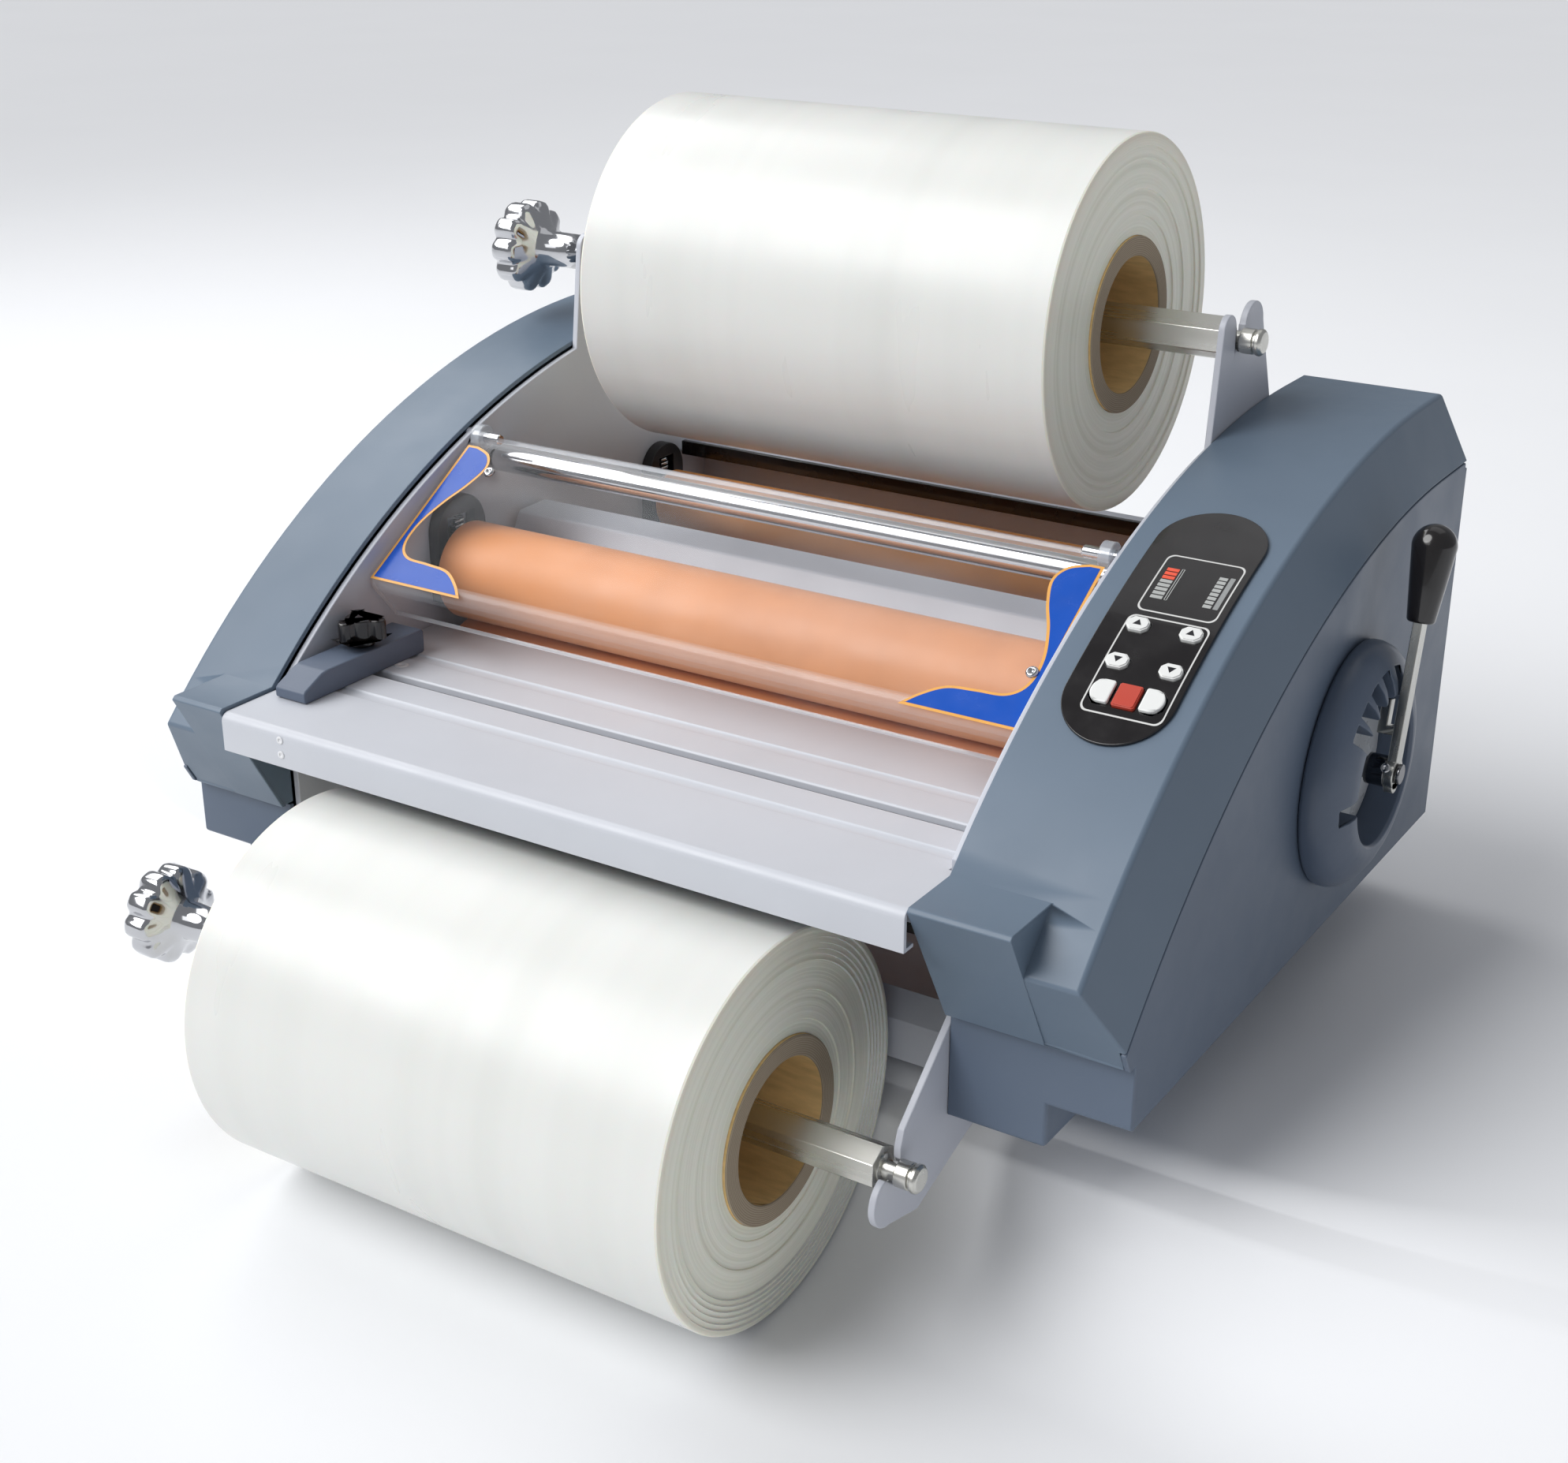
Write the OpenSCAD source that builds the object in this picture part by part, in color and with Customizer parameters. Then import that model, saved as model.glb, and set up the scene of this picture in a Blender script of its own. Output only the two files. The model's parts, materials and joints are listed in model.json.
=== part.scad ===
// Desktop hot and cold roll laminator with an upper and a lower film roll.
// Millimetres. X runs across the machine, +X towards the pressure lever. The
// operator stands at -Y and sheets feed towards +Y. Z = 0 is the bench top.

/* [Frame] */
// Clear width between the two side frames
inner_w = 428; // [424:1:436]
// Thickness of each side frame plate
plate_t = 4; // [3:0.5:4]
// Height of the rubber feet
foot_h = 10; // [6:1:12]

/* [Housings] */
// Radius of the arched top of both housings
arch_r = 566; // [560:1:572]
// Height of the arch's highest point above the bench
arch_top = 316.5; // [314:0.5:320]
// Width of the right housing, outboard of its side frame
right_w = 98; // [96:1:104]
// Width of the left housing, outboard of its side frame
left_w = 74; // [72:1:80]
// Wall thickness of the moulded covers
wall = 3; // [2.5:0.5:3.5]

/* [Feed table] */
// Height of the feed table's surface
table_z = 163; // [162:0.5:163.5]
// Depth of the table's front lip
lip_h = 22; // [18:1:26]

/* [Rollers] */
// Diameter of the two heated laminating rollers
roller_d = 59.6; // [59:0.1:59.8]
// Diameter of the two pull rollers
pull_d = 39.6; // [39:0.1:39.8]
// Length of the silicone sleeves
sleeve_l = 404; // [380:1:406]

/* [Film rolls] */
// Width of the film
film_w = 305; // [250:5:350]
// Outside diameter of a full film roll
film_d = 209.6; // [120:1:209.6]
// Inside diameter of the cardboard core
core_id = 76.2; // [75:0.1:77]
// Wall thickness of the cardboard core
core_wall = 11; // [4:0.5:12]

/* [Controls] */
// Length of the pressure lever from its pivot to the tip
lever_l = 134; // [120:1:145]
// Lean of the resting lever towards the rear, in degrees
lever_lean = 13.5; // [12:0.5:15]
// Length of the oval control panel
panel_l = 167; // [160:1:170]
// Width of the oval control panel
panel_w = 58; // [54:1:60]
// Diameter of the two film tension knobs
knob_d = 58; // [50:1:62]

/* [Hidden] */
$fn = 96;

gap = 0.3;             // space left between neighbouring pieces
run = 0.05;            // radial clearance of a shaft in its bearing
over = 1;              // how far a cutter runs past what it cuts

plate_in = inner_w / 2;
plate_out = plate_in + plate_t;
cover_in = plate_out + gap;
rear_y = 235;          // back of the housings
arch_y = 190;          // where the arch is highest
arch_c = [arch_y, arch_top - arch_r];
bevel_drop = 40;       // height of the sloping band along the outer top edge
right_x = plate_out + right_w;
left_x = plate_out + left_w;
right_fold = right_x - 16;
left_fold = left_x - 13;
right_ledge = plate_out + 54;
left_ledge = plate_out + 38;
nose_y = -236;         // front of the ledges and of the table
nose_z = table_z;
chin_y = -196;         // foot of the sloping nose
seam_z = 90;           // joint line between upper and lower covers at the front
chest_y = -190;        // front of the lower covers
pod_z = 54;            // underside of the outer part of the lower covers
keel_z = 30;           // underside of their inner part

web_z = table_z + 1.5; // level at which the sheet passes through both nips
roll_y = -41;
pull_y = 171;
nip_gap = 0.4;
roller_r = roller_d / 2;
pull_r = pull_d / 2;
upper_c = [roll_y, web_z + roller_r + nip_gap / 2];
lower_c = [roll_y, web_z - roller_r - nip_gap / 2];
upull_c = [pull_y, web_z + pull_r + nip_gap / 2];
lpull_c = [pull_y, web_z - pull_r - nip_gap / 2];
sleeve_x = sleeve_l / 2;
tube_r = roller_r - 4;
tube_bore = 21;
journal_r = 8;
heater_bore = 5.5;
heater_r = 4;
pull_core_r = pull_r - 5;
pull_journal_r = 6;
arch_t = 8;            // thickness of the bearing arches along X
block_w = 24;          // width of the sliding bearing blocks
lift = 6.2;            // how far the upper roller rises

lever_c = [66, 150];
shaft_r = 6;
cam_r = 11;
cam_e = 3.6;
rocker_c = [12, 150];
rocker_x = [plate_out + 1.5, plate_out + 7.5];
dial_r = 68;
dial_face = right_x + 23.5;
dial_rim = 41;           // radius of the opening in the dial
bar_x = [right_x + 24.5, right_x + 29.5];

gear_m = 3;
gear_n = 20;
pinion_n = 12;
gear_x = [-plate_out - 22, -plate_out - 10];
pulley_x = [-plate_out - 34, -plate_out - 24];
pulley_r = 24;
pull_pulley_r = 16;
belt_t = 1.8;
motor_dir = 233.13;    // direction from the lower roller to the motor, from +Y
motor_c = lower_c + gear_m * (gear_n + pinion_n) / 2 * [cos(motor_dir), sin(motor_dir)];

shield_c = [-15, 270];
pin_r = 3.3;
idler_c = [2, 252];
idler_r = 7.5;

film_r = film_d / 2;
core_r = core_id / 2;
upper_roll_c = [118, 357.3];
lower_roll_c = [-238.9, 25];
hex_r = 12;
neck_r = 5;

panel_y = -58;         // middle of the control panel, measured along Y
panel_x = plate_out + 42;
panel_t = 1.8;
button_rise = 2;
guide_x = -198;
guide_y = [-202, -102];
slot_y = -142;         // middle of the table's clamping slot
groove_w = 9;
switch_c = [228.5, 50];
rocker_tilt = 8;
knob_lobes = 10;

// ---- shared shapes ----

// A (y, z) outline made into a solid from x0 to x1
module along_x(x0, x1) {
  translate([x0, 0, 0]) rotate([90, 0, 90]) linear_extrude(x1 - x0) children();
}

// A round bar along X from x0 to x1 at c = [y, z]
module rod_x(x0, x1, r, c) {
  translate([x0, c[0], c[1]]) rotate([0, 90, 0]) cylinder(h = x1 - x0, r = r);
}

// A turned part along X, from (radius, x) points
module turned_x(points, c) {
  translate([0, c[0], c[1]]) rotate([0, 90, 0]) rotate_extrude() polygon(points);
}

// A ring along X
module ring_x(x0, x1, r_out, r_in, c) {
  difference() {
    rod_x(x0, x1, r_out, c);
    rod_x(x0 - over, x1 + over, r_in, c);
  }
}

module both_sides() {
  children();
  mirror([1, 0, 0]) children();
}

// Lean of the arch's outward normal towards the front at depth y
function arch_lean(y) = asin((arch_y - y) / arch_r);

// Places children on the arch at depth y, with local +Z along its normal and
// local Z = 0 on its surface
module on_arch(x, y) {
  translate([x, arch_c[0], arch_c[1]]) rotate([arch_lean(y), 0, 0])
    translate([0, 0, arch_r]) children();
}

// A rectangle with cut corners, centred
module cut_rect(w, h, c) {
  polygon([
    [-w / 2 + c, -h / 2], [w / 2 - c, -h / 2], [w / 2, -h / 2 + c], [w / 2, h / 2 - c],
    [w / 2 - c, h / 2], [-w / 2 + c, h / 2], [-w / 2, h / 2 - c], [-w / 2, -h / 2 + c]
  ]);
}

// A gear tooth profile with straight flanks and wide backlash; phase turns tooth 0
module gear_2d(m, n, phase) {
  r = m * n / 2;
  root = r - 1.3 * m;
  tip = r + 0.9 * m;
  circle(r = root + 0.2);
  for (i = [0 : n - 1]) rotate(phase + i * 360 / n)
    polygon([[root - 1, -0.95 * m], [root, -0.95 * m], [r, -0.62 * m], [tip, -0.3 * m],
             [tip, 0.3 * m], [r, 0.62 * m], [root, 0.95 * m], [root - 1, 0.95 * m]]);
}

// ---- housings ----

// The space under the arch from x0 to x1, folding down from x = fold to x1, with
// everything pulled in by t
module arch_space(x1, fold, t) {
  r = arch_r - t;
  outer = x1 - t;
  inner = fold - t / 3;
  top = arch_c[1] + r;
  back = rear_y - t;
  low = -10;
  intersection() {
    translate([0, arch_c[0], arch_c[1]]) rotate([0, 90, 0]) union() {
      translate([0, 0, cover_in - over]) cylinder(h = inner - cover_in + over, r = r, $fn = 200);
      translate([0, 0, inner])
        cylinder(h = outer - inner, r1 = r, r2 = r - bevel_drop, $fn = 200);
    }
    translate([cover_in, -260, low]) cube([x1, arch_y + 260, arch_top + 20]);
  }
  difference() {
    translate([0, back, 0]) rotate([90, 0, 0]) linear_extrude(back - arch_y)
      polygon([[cover_in, low], [cover_in, top], [inner, top], [outer, top - bevel_drop],
               [outer, low]]);
    along_x(cover_in - over, x1 + over)
      polygon([[rear_y - 12 - t, top + over], [rear_y - 12 - t, top],
               [back, arch_top - 44 - t / 2], [back + over, arch_top - 44], [back + over, top + over]]);
  }
}

// The (y, z) region that the upper cover fills in front, behind its sloping nose
module nose_2d(t) {
  polygon([[nose_y + t, nose_z - t], [nose_y + t, nose_z], [nose_y + t, nose_z + 200],
           [rear_y + over, nose_z + 200], [rear_y + over, seam_z], [chin_y + t, seam_z],
           [chin_y + t * 1.1, seam_z + 2]]);
}

// Everything above the joint line: outside the smaller arch or above the seam at the front
module above_seam(x1, g) {
  r = arch_r - bevel_drop + g;
  difference() {
    translate([cover_in - over, -260, seam_z + g]) cube([x1, rear_y + 261, 400]);
    intersection() {
      rod_x(cover_in - 2 * over, x1 + over, r, arch_c);
      translate([cover_in - 2 * over, -260, -20]) cube([x1 + 3 * over, arch_y + 260, 400]);
    }
    translate([cover_in - 2 * over, arch_y - over, -20])
      cube([x1 + 3 * over, rear_y - arch_y + 2 * over, arch_c[1] + r + 20]);
  }
}

// Moulded upper cover for the right-hand side; the left one is its mirror image
module upper_cover(x1, fold, ledge) {
  difference() {
    union() {
      intersection() {
        arch_space(x1, fold, 0);
        along_x(cover_in - over, x1 + over) nose_2d(0);
      }
      along_x(cover_in, ledge)
        polygon([[nose_y, nose_z], [nose_y + 2, nose_z + 2], [-186, nose_z + 2], [-186, seam_z],
                 [chin_y, seam_z]]);
    }
    intersection() {
      arch_space(x1, fold, wall);
      translate([-over, 0, 0]) along_x(cover_in - over, x1 + over) nose_2d(wall * 1.2);
    }
    along_x(cover_in - over, ledge - wall)
      polygon([[nose_y + wall * 1.2, nose_z - wall], [-186 - over, nose_z - wall],
               [-186 - over, seam_z - over], [chin_y + wall * 1.2, seam_z - over]]);
    // the outer wall stops at the joint line, where the lower cover begins
    difference() {
      translate([x1 - wall - 0.5, -260, seam_z - over]) cube([wall + 2, rear_y + 262, 400]);
      above_seam(x1 + 20, gap);
    }
    // open back and inside below the joint line
    translate([cover_in - over, -184, seam_z - over]) cube([x1 - cover_in - wall, 10, gap + over]);
    translate([cover_in - over, rear_y - wall - over, seam_z - over])
      cube([x1, wall + 2 * over, arch_top - 44 - seam_z + over + gap]);
  }
}

// The (x, z) outline of a lower cover, pulled in by t
module pod_2d(x1, ledge, t) {
  polygon([[cover_in, keel_z + t], [ledge - t, keel_z + t], [ledge - t, pod_z + t],
           [x1 - t, pod_z + t], [x1 - t, arch_top], [cover_in, arch_top]]);
}

// Moulded lower cover for the right-hand side, open towards the frame and at the top
module lower_cover(x1, ledge) {
  nose_k = (nose_y - chin_y) / (nose_z - seam_z);
  difference() {
    union() {
      translate([0, rear_y, 0]) rotate([90, 0, 0]) linear_extrude(rear_y - chest_y)
        pod_2d(x1, ledge, 0);
      // corner of the outer wall beside the foot of the nose, up to the small arch
      along_x(x1 - wall, x1)
        polygon([[chin_y, seam_z], [chin_y + nose_k * 40, seam_z + 40], [chest_y + wall, seam_z + 40],
                 [chest_y + wall, seam_z - 2], [chest_y, seam_z - 2], [chest_y, seam_z]]);
    }
    translate([-over, rear_y - wall, 0]) rotate([90, 0, 0])
      linear_extrude(rear_y - chest_y - 2 * wall) pod_2d(x1 + over, ledge + over, wall);
    // front wall stops at the joint line, the outer wall at the small arch
    translate([cover_in - over, chest_y - over, seam_z - gap])
      cube([x1 - cover_in - wall + over, 60, 300]);
    above_seam(x1 + 20, -gap);
    translate([cover_in - over, rear_y - wall - over, arch_top - 44])
      cube([x1, wall + 2 * over, 60]);
  }
}

module upper_cover_left() {
  color([0.36, 0.43, 0.5]) mirror([1, 0, 0]) upper_cover(left_x, left_fold, left_ledge);
}

module lower_cover_left() {
  color([0.34, 0.39, 0.47]) mirror([1, 0, 0]) lower_cover(left_x, left_ledge);
}

module upper_cover_right() {
  color([0.36, 0.43, 0.5]) difference() {
    upper_cover(right_x, right_fold, right_ledge);
    for (b = BUTTONS) button_at(b) translate([0, 0, -wall - 2]) linear_extrude(wall + 4)
      button_2d(b, gap);
  }
}

module lower_cover_right() {
  color([0.34, 0.39, 0.47]) difference() {
    lower_cover(right_x, right_ledge);
    rod_x(right_x - wall - over, right_x + over, shaft_r + 2, lever_c);
  }
}

// ---- frame ----

// Side frame outline: body under the arch, upper ear, lower ear
module side_frame_2d() {
  difference() {
    union() {
      intersection() {
        union() {
          translate([arch_c[0], arch_c[1]]) circle(r = arch_r - 4, $fn = 200);
          translate([arch_y - over, -10]) square([60, arch_top + 6]);
        }
        polygon([[-186, 88], [-186, table_z + 60], [-100, arch_top - 4], [228, arch_top - 4],
                 [228, foot_h], [-150, foot_h], [-166, 16]]);
      }
      // upper ear that carries the upper mandrel
      polygon([[86, 290], [95.2, 366], [150.4, 363], [180, 290]]);
      translate([103.5, 365]) circle(r = 8.4);
      translate([137.5, 362]) circle(r = 13);
      // lower ear that carries the lower mandrel
      polygon([[-150, 92], [-186, 84], [-232, 44], [-235, 36], [-235, 0], [-217, -9],
               [-166, 9], [-140, foot_h + 4]]);
      translate([-245, 12]) circle(r = 14);
      polygon([[-245, -2], [-217, -9], [-217, 20], [-245, 20]]);
    }
    // open seats for the mandrel necks
    translate(upper_roll_c) circle(r = 6);
    translate([upper_roll_c[0] - 6, upper_roll_c[1]]) square([12, 40]);
    translate(lower_roll_c) rotate(143) {
      circle(r = 6);
      translate([0, -6]) square([40, 12]);
    }
    // guide for the sliding block of the upper roller, and the fixed bearings
    translate([roll_y - block_w / 2 - gap, upper_c[1] - 15]) square([block_w + 2 * gap, 40]);
    translate(lower_c) circle(r = 12);
    translate(upull_c) circle(r = 10);
    translate(lpull_c) circle(r = 10);
    translate(lever_c) circle(r = 9);
    translate(idler_c) circle(r = 5);
    translate(shield_c) circle(r = pin_r + 0.02);
  }
}

module side_frame() {
  along_x(plate_in, plate_out) side_frame_2d();
  rod_x(plate_out - 2, rocker_x[1] + 2, 5, rocker_c);
}

module side_frame_left() {
  color([0.77, 0.78, 0.82]) mirror([1, 0, 0]) side_frame();
}

module side_frame_right() {
  color([0.77, 0.78, 0.82]) side_frame();
}

// Folded floor of the machine with a stiffened front edge and end flanges
module base_pan() {
  x = plate_in - gap;
  front = -128;
  color([0.74, 0.75, 0.79]) difference() {
    union() {
      along_x(-x, x) polygon([
        [224, foot_h], [front, foot_h], [front, foot_h + 24], [front + 9, foot_h + 38],
        [front + 12, foot_h + 36], [front + 2, foot_h + 23], [front + 2, foot_h + 2],
        [224, foot_h + 2]
      ]);
      both_sides() translate([x - 2, front + 14, foot_h]) cube([2, 200, 22]);
    }
    for (x = [-150 : 30 : 150]) for (y = [40, 100]) translate([x - 3, y, foot_h - over])
      cube([6, 40, 2 + 2 * over]);
  }
}

// Back sheet with the exit slot and a flange over the pull rollers
module rear_panel() {
  x = plate_in - gap;
  color([0.75, 0.76, 0.8]) difference() {
    union() {
      translate([-x, 226, foot_h + 0.3]) cube([2 * x, 2, 200.7]);
      translate([-x, 198, foot_h + 199]) cube([2 * x, 28.5, 2]);
    }
    translate([-200, 225, web_z - 14]) cube([400, 4, 30]);
    translate([118, 225, 40]) cube([60, 4, 20]);
    for (x = [-60 : 14 : 60]) translate([x - 3, 225, 60]) cube([6, 4, 50]);
  }
}

// Extruded feed table with three grooves and a clamping slot
module feed_table() {
  x = plate_in - gap;
  wide = plate_out - 0.4;
  edge_r = 5;
  color([0.79, 0.8, 0.84]) difference() {
    union() {
      along_x(-x, x) {
        translate([-187, table_z - 3]) square([129, 3]);
        translate([-78, table_z - 13]) square([2, 12]);
        translate([slot_y - 9, table_z - 16]) square([18, 14]);
      }
      along_x(-wide, wide) {
        difference() {
          union() {
            translate([nose_y + edge_r, table_z - 3]) square([-187 - nose_y - edge_r, 3]);
            translate([nose_y, table_z - lip_h]) square([2.5, lip_h - edge_r]);
            translate([nose_y + edge_r, table_z - edge_r]) circle(r = edge_r);
          }
          translate([nose_y + edge_r, table_z - edge_r]) circle(r = edge_r - 2.5);
          translate([nose_y + 2.5, table_z - 3 - edge_r - 2]) square([edge_r, edge_r + 2]);
        }
        translate([nose_y, table_z - lip_h]) square([9, 2]);
      }
      both_sides() translate([x - 3, -180, table_z - 20]) cube([3, 112, 18]);
    }
    for (y = [-172.5, slot_y, -111]) along_x(-plate_out, plate_out)
      polygon([[y - groove_w / 2, table_z + over], [y - groove_w / 2, table_z],
               [y - groove_w / 2 + 1.2, table_z - 1.2], [y + groove_w / 2 - 1.2, table_z - 1.2],
               [y + groove_w / 2, table_z], [y + groove_w / 2, table_z + over]]);
    // T-shaped slot that the guide's clamp runs in
    translate([-plate_out, slot_y - 3.6, table_z - 6]) cube([2 * plate_out, 7.2, 7]);
    translate([-plate_out, slot_y - 6.5, table_z - 13.5]) cube([2 * plate_out, 13, 9]);
  }
}

// Four corner feet and one under the middle, which carries the floor
module feet() {
  color([0.1, 0.1, 0.11])
    for (p = [[-176, -106], [176, -106], [-176, 200], [176, 200], [0, 0]])
      translate([p[0], p[1], 0]) {
        cylinder(h = foot_h - 3, r1 = 11, r2 = 12);
        translate([0, 0, foot_h - 3]) cylinder(h = 2.7, r = 12);
      }
}

module shield_pins() {
  color([0.8, 0.81, 0.83]) both_sides() turned_x(
    [[0, 194], [pin_r - 0.6, 194], [pin_r, 194.6], [pin_r, plate_out + 0.1],
     [pin_r + 1.2, plate_out + 0.1], [pin_r + 1.2, plate_out + 2], [0, plate_out + 2]], shield_c);
}

// One arched housing: a slab with a domed top around a bearing at c
module arch_slab(c, rise, w) {
  x0 = plate_in - arch_t - 0.2;
  x1 = plate_in - 0.2;
  along_x(x0, x1) {
    translate([c[0] - w / 2, c[1] - 17]) square([w, rise + 17 - w / 2]);
    translate([c[0], c[1] + rise - w / 2]) circle(r = w / 2);
  }
}

// Arched housings inside the frames, and the flanged bushes of the fixed shafts
module roller_bearings() {
  color([0.08, 0.08, 0.09]) both_sides() {
    difference() {
      arch_slab(upper_c, 46, 44);
      translate([plate_in - arch_t - over, roll_y - block_w / 2 - gap, upper_c[1] - 17 - over])
        cube([arch_t + 2 * over, block_w + 2 * gap, 52]);
    }
    difference() {
      arch_slab(upull_c, 38, 38);
      rod_x(plate_in - arch_t - over, plate_in + over, pull_journal_r + run, upull_c);
      translate([plate_in - arch_t - over, pull_y - 8, upull_c[1] + 11])
        cube([arch_t - 1, 16, 18]);
    }
    flanged_bush(lower_c, 12, journal_r, 15);
    flanged_bush(lpull_c, 10, pull_journal_r, 13);
    flanged_bush(lever_c, 9, shaft_r, 12);
    ring_x(plate_in - 0.1, plate_out - 0.1, 9.9, pull_journal_r + run, upull_c);
    ring_x(plate_in - 1.5, plate_out - 0.1, 4.9, 4 + run, idler_c);
  }
}

// A bush in the frame plate with a thin flange on the inside
module flanged_bush(c, hole_r, shaft, flange_r) {
  turned_x([[shaft + run, plate_in - 2.5], [flange_r, plate_in - 2.5], [flange_r, plate_in - 0.1],
            [hole_r - 0.1, plate_in - 0.1], [hole_r - 0.1, plate_out + 0.4],
            [shaft + run, plate_out + 0.4]], c);
}

// ---- laminating rollers ----

// Hollow roller tube with a journal at each end; left and right are journal ends
module roller_tube(c, left, right) {
  turned_x([
    [heater_bore, left], [journal_r, left], [journal_r, -sleeve_x], [tube_r, -sleeve_x],
    [tube_r, sleeve_x], [journal_r, sleeve_x], [journal_r, right], [heater_bore, right],
    [heater_bore, sleeve_x - 6], [tube_bore, sleeve_x - 6], [tube_bore, -sleeve_x + 6],
    [heater_bore, -sleeve_x + 6]
  ], c);
}

module roller_sleeve(c) {
  ring_x(-sleeve_x + 0.2, sleeve_x - 0.2, roller_r, tube_r + 0.02, c);
}

// Heating rod with a ceramic cap at each end
module heater(c) {
  ends = [-left_x + 28, rocker_x[1] + 12];
  cap = 14;
  rod_x(ends[0] + cap - over, ends[1] - cap + over, heater_r, c);
  rod_x(ends[0], ends[0] + cap, heater_r + 1, c);
  rod_x(ends[1] - cap, ends[1], heater_r + 1, c);
}

module upper_roller_tube() {
  color([0.7, 0.71, 0.73]) roller_tube(upper_c, gear_x[0] - 1, rocker_x[1] + 2);
}

module upper_roller_sleeve() {
  color([0.87, 0.62, 0.44]) roller_sleeve(upper_c);
}

module upper_heater() {
  color([0.85, 0.84, 0.8]) heater(upper_c);
}

module lower_roller_tube() {
  color([0.7, 0.71, 0.73]) roller_tube(lower_c, pulley_x[0] - 1, rocker_x[1] + 2);
}

module lower_roller_sleeve() {
  color([0.87, 0.62, 0.44]) roller_sleeve(lower_c);
}

module lower_heater() {
  color([0.85, 0.84, 0.8]) heater(lower_c);
}

module upper_roller_gear() {
  color([0.85, 0.83, 0.76]) difference() {
    along_x(gear_x[0], gear_x[1]) translate(upper_c) gear_2d(gear_m, gear_n, -90 + 180 / gear_n);
    rod_x(gear_x[0] - over, gear_x[1] + over, journal_r + 0.02, upper_c);
  }
}

// Gear with the belt pulley moulded on its outer side
module lower_roller_gear() {
  color([0.85, 0.83, 0.76]) difference() {
    union() {
      along_x(gear_x[0], gear_x[1]) translate(lower_c) gear_2d(gear_m, gear_n, 90);
      rod_x(pulley_x[1], gear_x[0] + over, 15, lower_c);
      rod_x(pulley_x[0], pulley_x[1], pulley_r, lower_c);
    }
    rod_x(pulley_x[0] - over, gear_x[1] + over, journal_r + 0.02, lower_c);
  }
}

// Blocks that carry the upper roller and slide in the arches and the frames
module upper_bearing_blocks() {
  color([0.12, 0.12, 0.13]) both_sides() difference() {
    translate([plate_in - arch_t + 0.2, roll_y - block_w / 2, upper_c[1] - 14])
      cube([arch_t + plate_t + 0.6, block_w, 27]);
    rod_x(plate_in - 20, plate_out + 20, journal_r + run, upper_c);
  }
}

// Compression springs that press the blocks down: stacked coils
module pressure_springs() {
  base = upper_c[1] + 13.2;
  coil = 2.2;
  color([0.72, 0.73, 0.75]) both_sides() {
    translate([plate_in - arch_t / 2 - 0.2, roll_y, base]) for (i = [0 : 4])
      translate([0, 0, i * coil * 1.9 + coil / 2]) rotate_extrude() translate([2.6, 0])
        circle(r = coil / 2, $fn = 24);
    translate([plate_in - arch_t / 2 - 0.2, roll_y, base]) cylinder(h = 19, r = 1.7);
  }
}

// ---- pull rollers and drive ----

module pull_shaft(c, left) {
  turned_x([[0, left], [pull_journal_r, left], [pull_journal_r, -sleeve_x],
            [pull_core_r, -sleeve_x], [pull_core_r, sleeve_x], [pull_journal_r, sleeve_x],
            [pull_journal_r, plate_out + 3], [0, plate_out + 3]], c);
}

module pull_sleeve(c) {
  ring_x(-sleeve_x + 0.2, sleeve_x - 0.2, pull_r, pull_core_r + 0.02, c);
}

module lower_pull_shaft() {
  color([0.68, 0.69, 0.71]) pull_shaft(lpull_c, pulley_x[0] - 1);
}

module lower_pull_sleeve() {
  color([0.85, 0.6, 0.32]) pull_sleeve(lpull_c);
}

module upper_pull_shaft() {
  color([0.68, 0.69, 0.71]) pull_shaft(upull_c, -plate_out - 3);
}

module upper_pull_sleeve() {
  color([0.85, 0.6, 0.32]) pull_sleeve(upull_c);
}

module pull_pulley() {
  color([0.85, 0.83, 0.76]) ring_x(pulley_x[0], pulley_x[1], pull_pulley_r,
                                   pull_journal_r + 0.02, lpull_c);
}

// Belt outline: both pulleys grown by g and the straight runs between them
module belt_2d(g) {
  d = lpull_c - lower_c;
  length = norm(d);
  lean = acos((pulley_r - pull_pulley_r) / length);
  r1 = pulley_r + g;
  r2 = pull_pulley_r + g;
  translate(lower_c) rotate(atan2(d[1], d[0])) {
    circle(r = r1);
    translate([length, 0]) circle(r = r2);
    polygon([
      [r1 * cos(lean), r1 * sin(lean)], [length + r2 * cos(lean), r2 * sin(lean)],
      [length + r2 * cos(lean), -r2 * sin(lean)], [r1 * cos(lean), -r1 * sin(lean)]
    ]);
  }
}

module drive_belt() {
  color([0.07, 0.07, 0.07]) difference() {
    along_x(pulley_x[0] + 1, pulley_x[1] - 1) belt_2d(gap + belt_t);
    along_x(pulley_x[0], pulley_x[1]) belt_2d(gap);
  }
}

// Gearmotor on two stand-offs outside the left frame
module gearmotor() {
  face = pulley_x[1] - 1;
  back = -left_x + wall + 6;
  posts = [motor_c + [-28, 0], motor_c + [0, -28]];
  color([0.5, 0.51, 0.53]) difference() {
    union() {
      rod_x(back, face, 20, motor_c);
      rod_x(face - 18, face, 20.8, motor_c);
      along_x(face - 3, face) for (p = posts) {
        translate(p) circle(r = 6);
        translate(motor_c) rotate(atan2(p[1] - motor_c[1], p[0] - motor_c[0]))
          translate([0, -6]) square([28, 12]);
      }
      for (p = posts) rod_x(face - 1, -plate_out - 0.1, 3.5, p);
    }
    rod_x(face - 6, face + over, 7, motor_c);
  }
}

module motor_pinion() {
  phase = motor_dir + 180 + (motor_dir - 90) * gear_n / pinion_n + 180 / pinion_n;
  color([0.62, 0.6, 0.5]) union() {
    along_x(gear_x[0], gear_x[1]) translate(motor_c) gear_2d(gear_m, pinion_n, phase);
    rod_x(pulley_x[1] - 6, gear_x[1] + 2, 5, motor_c);
  }
}

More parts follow.
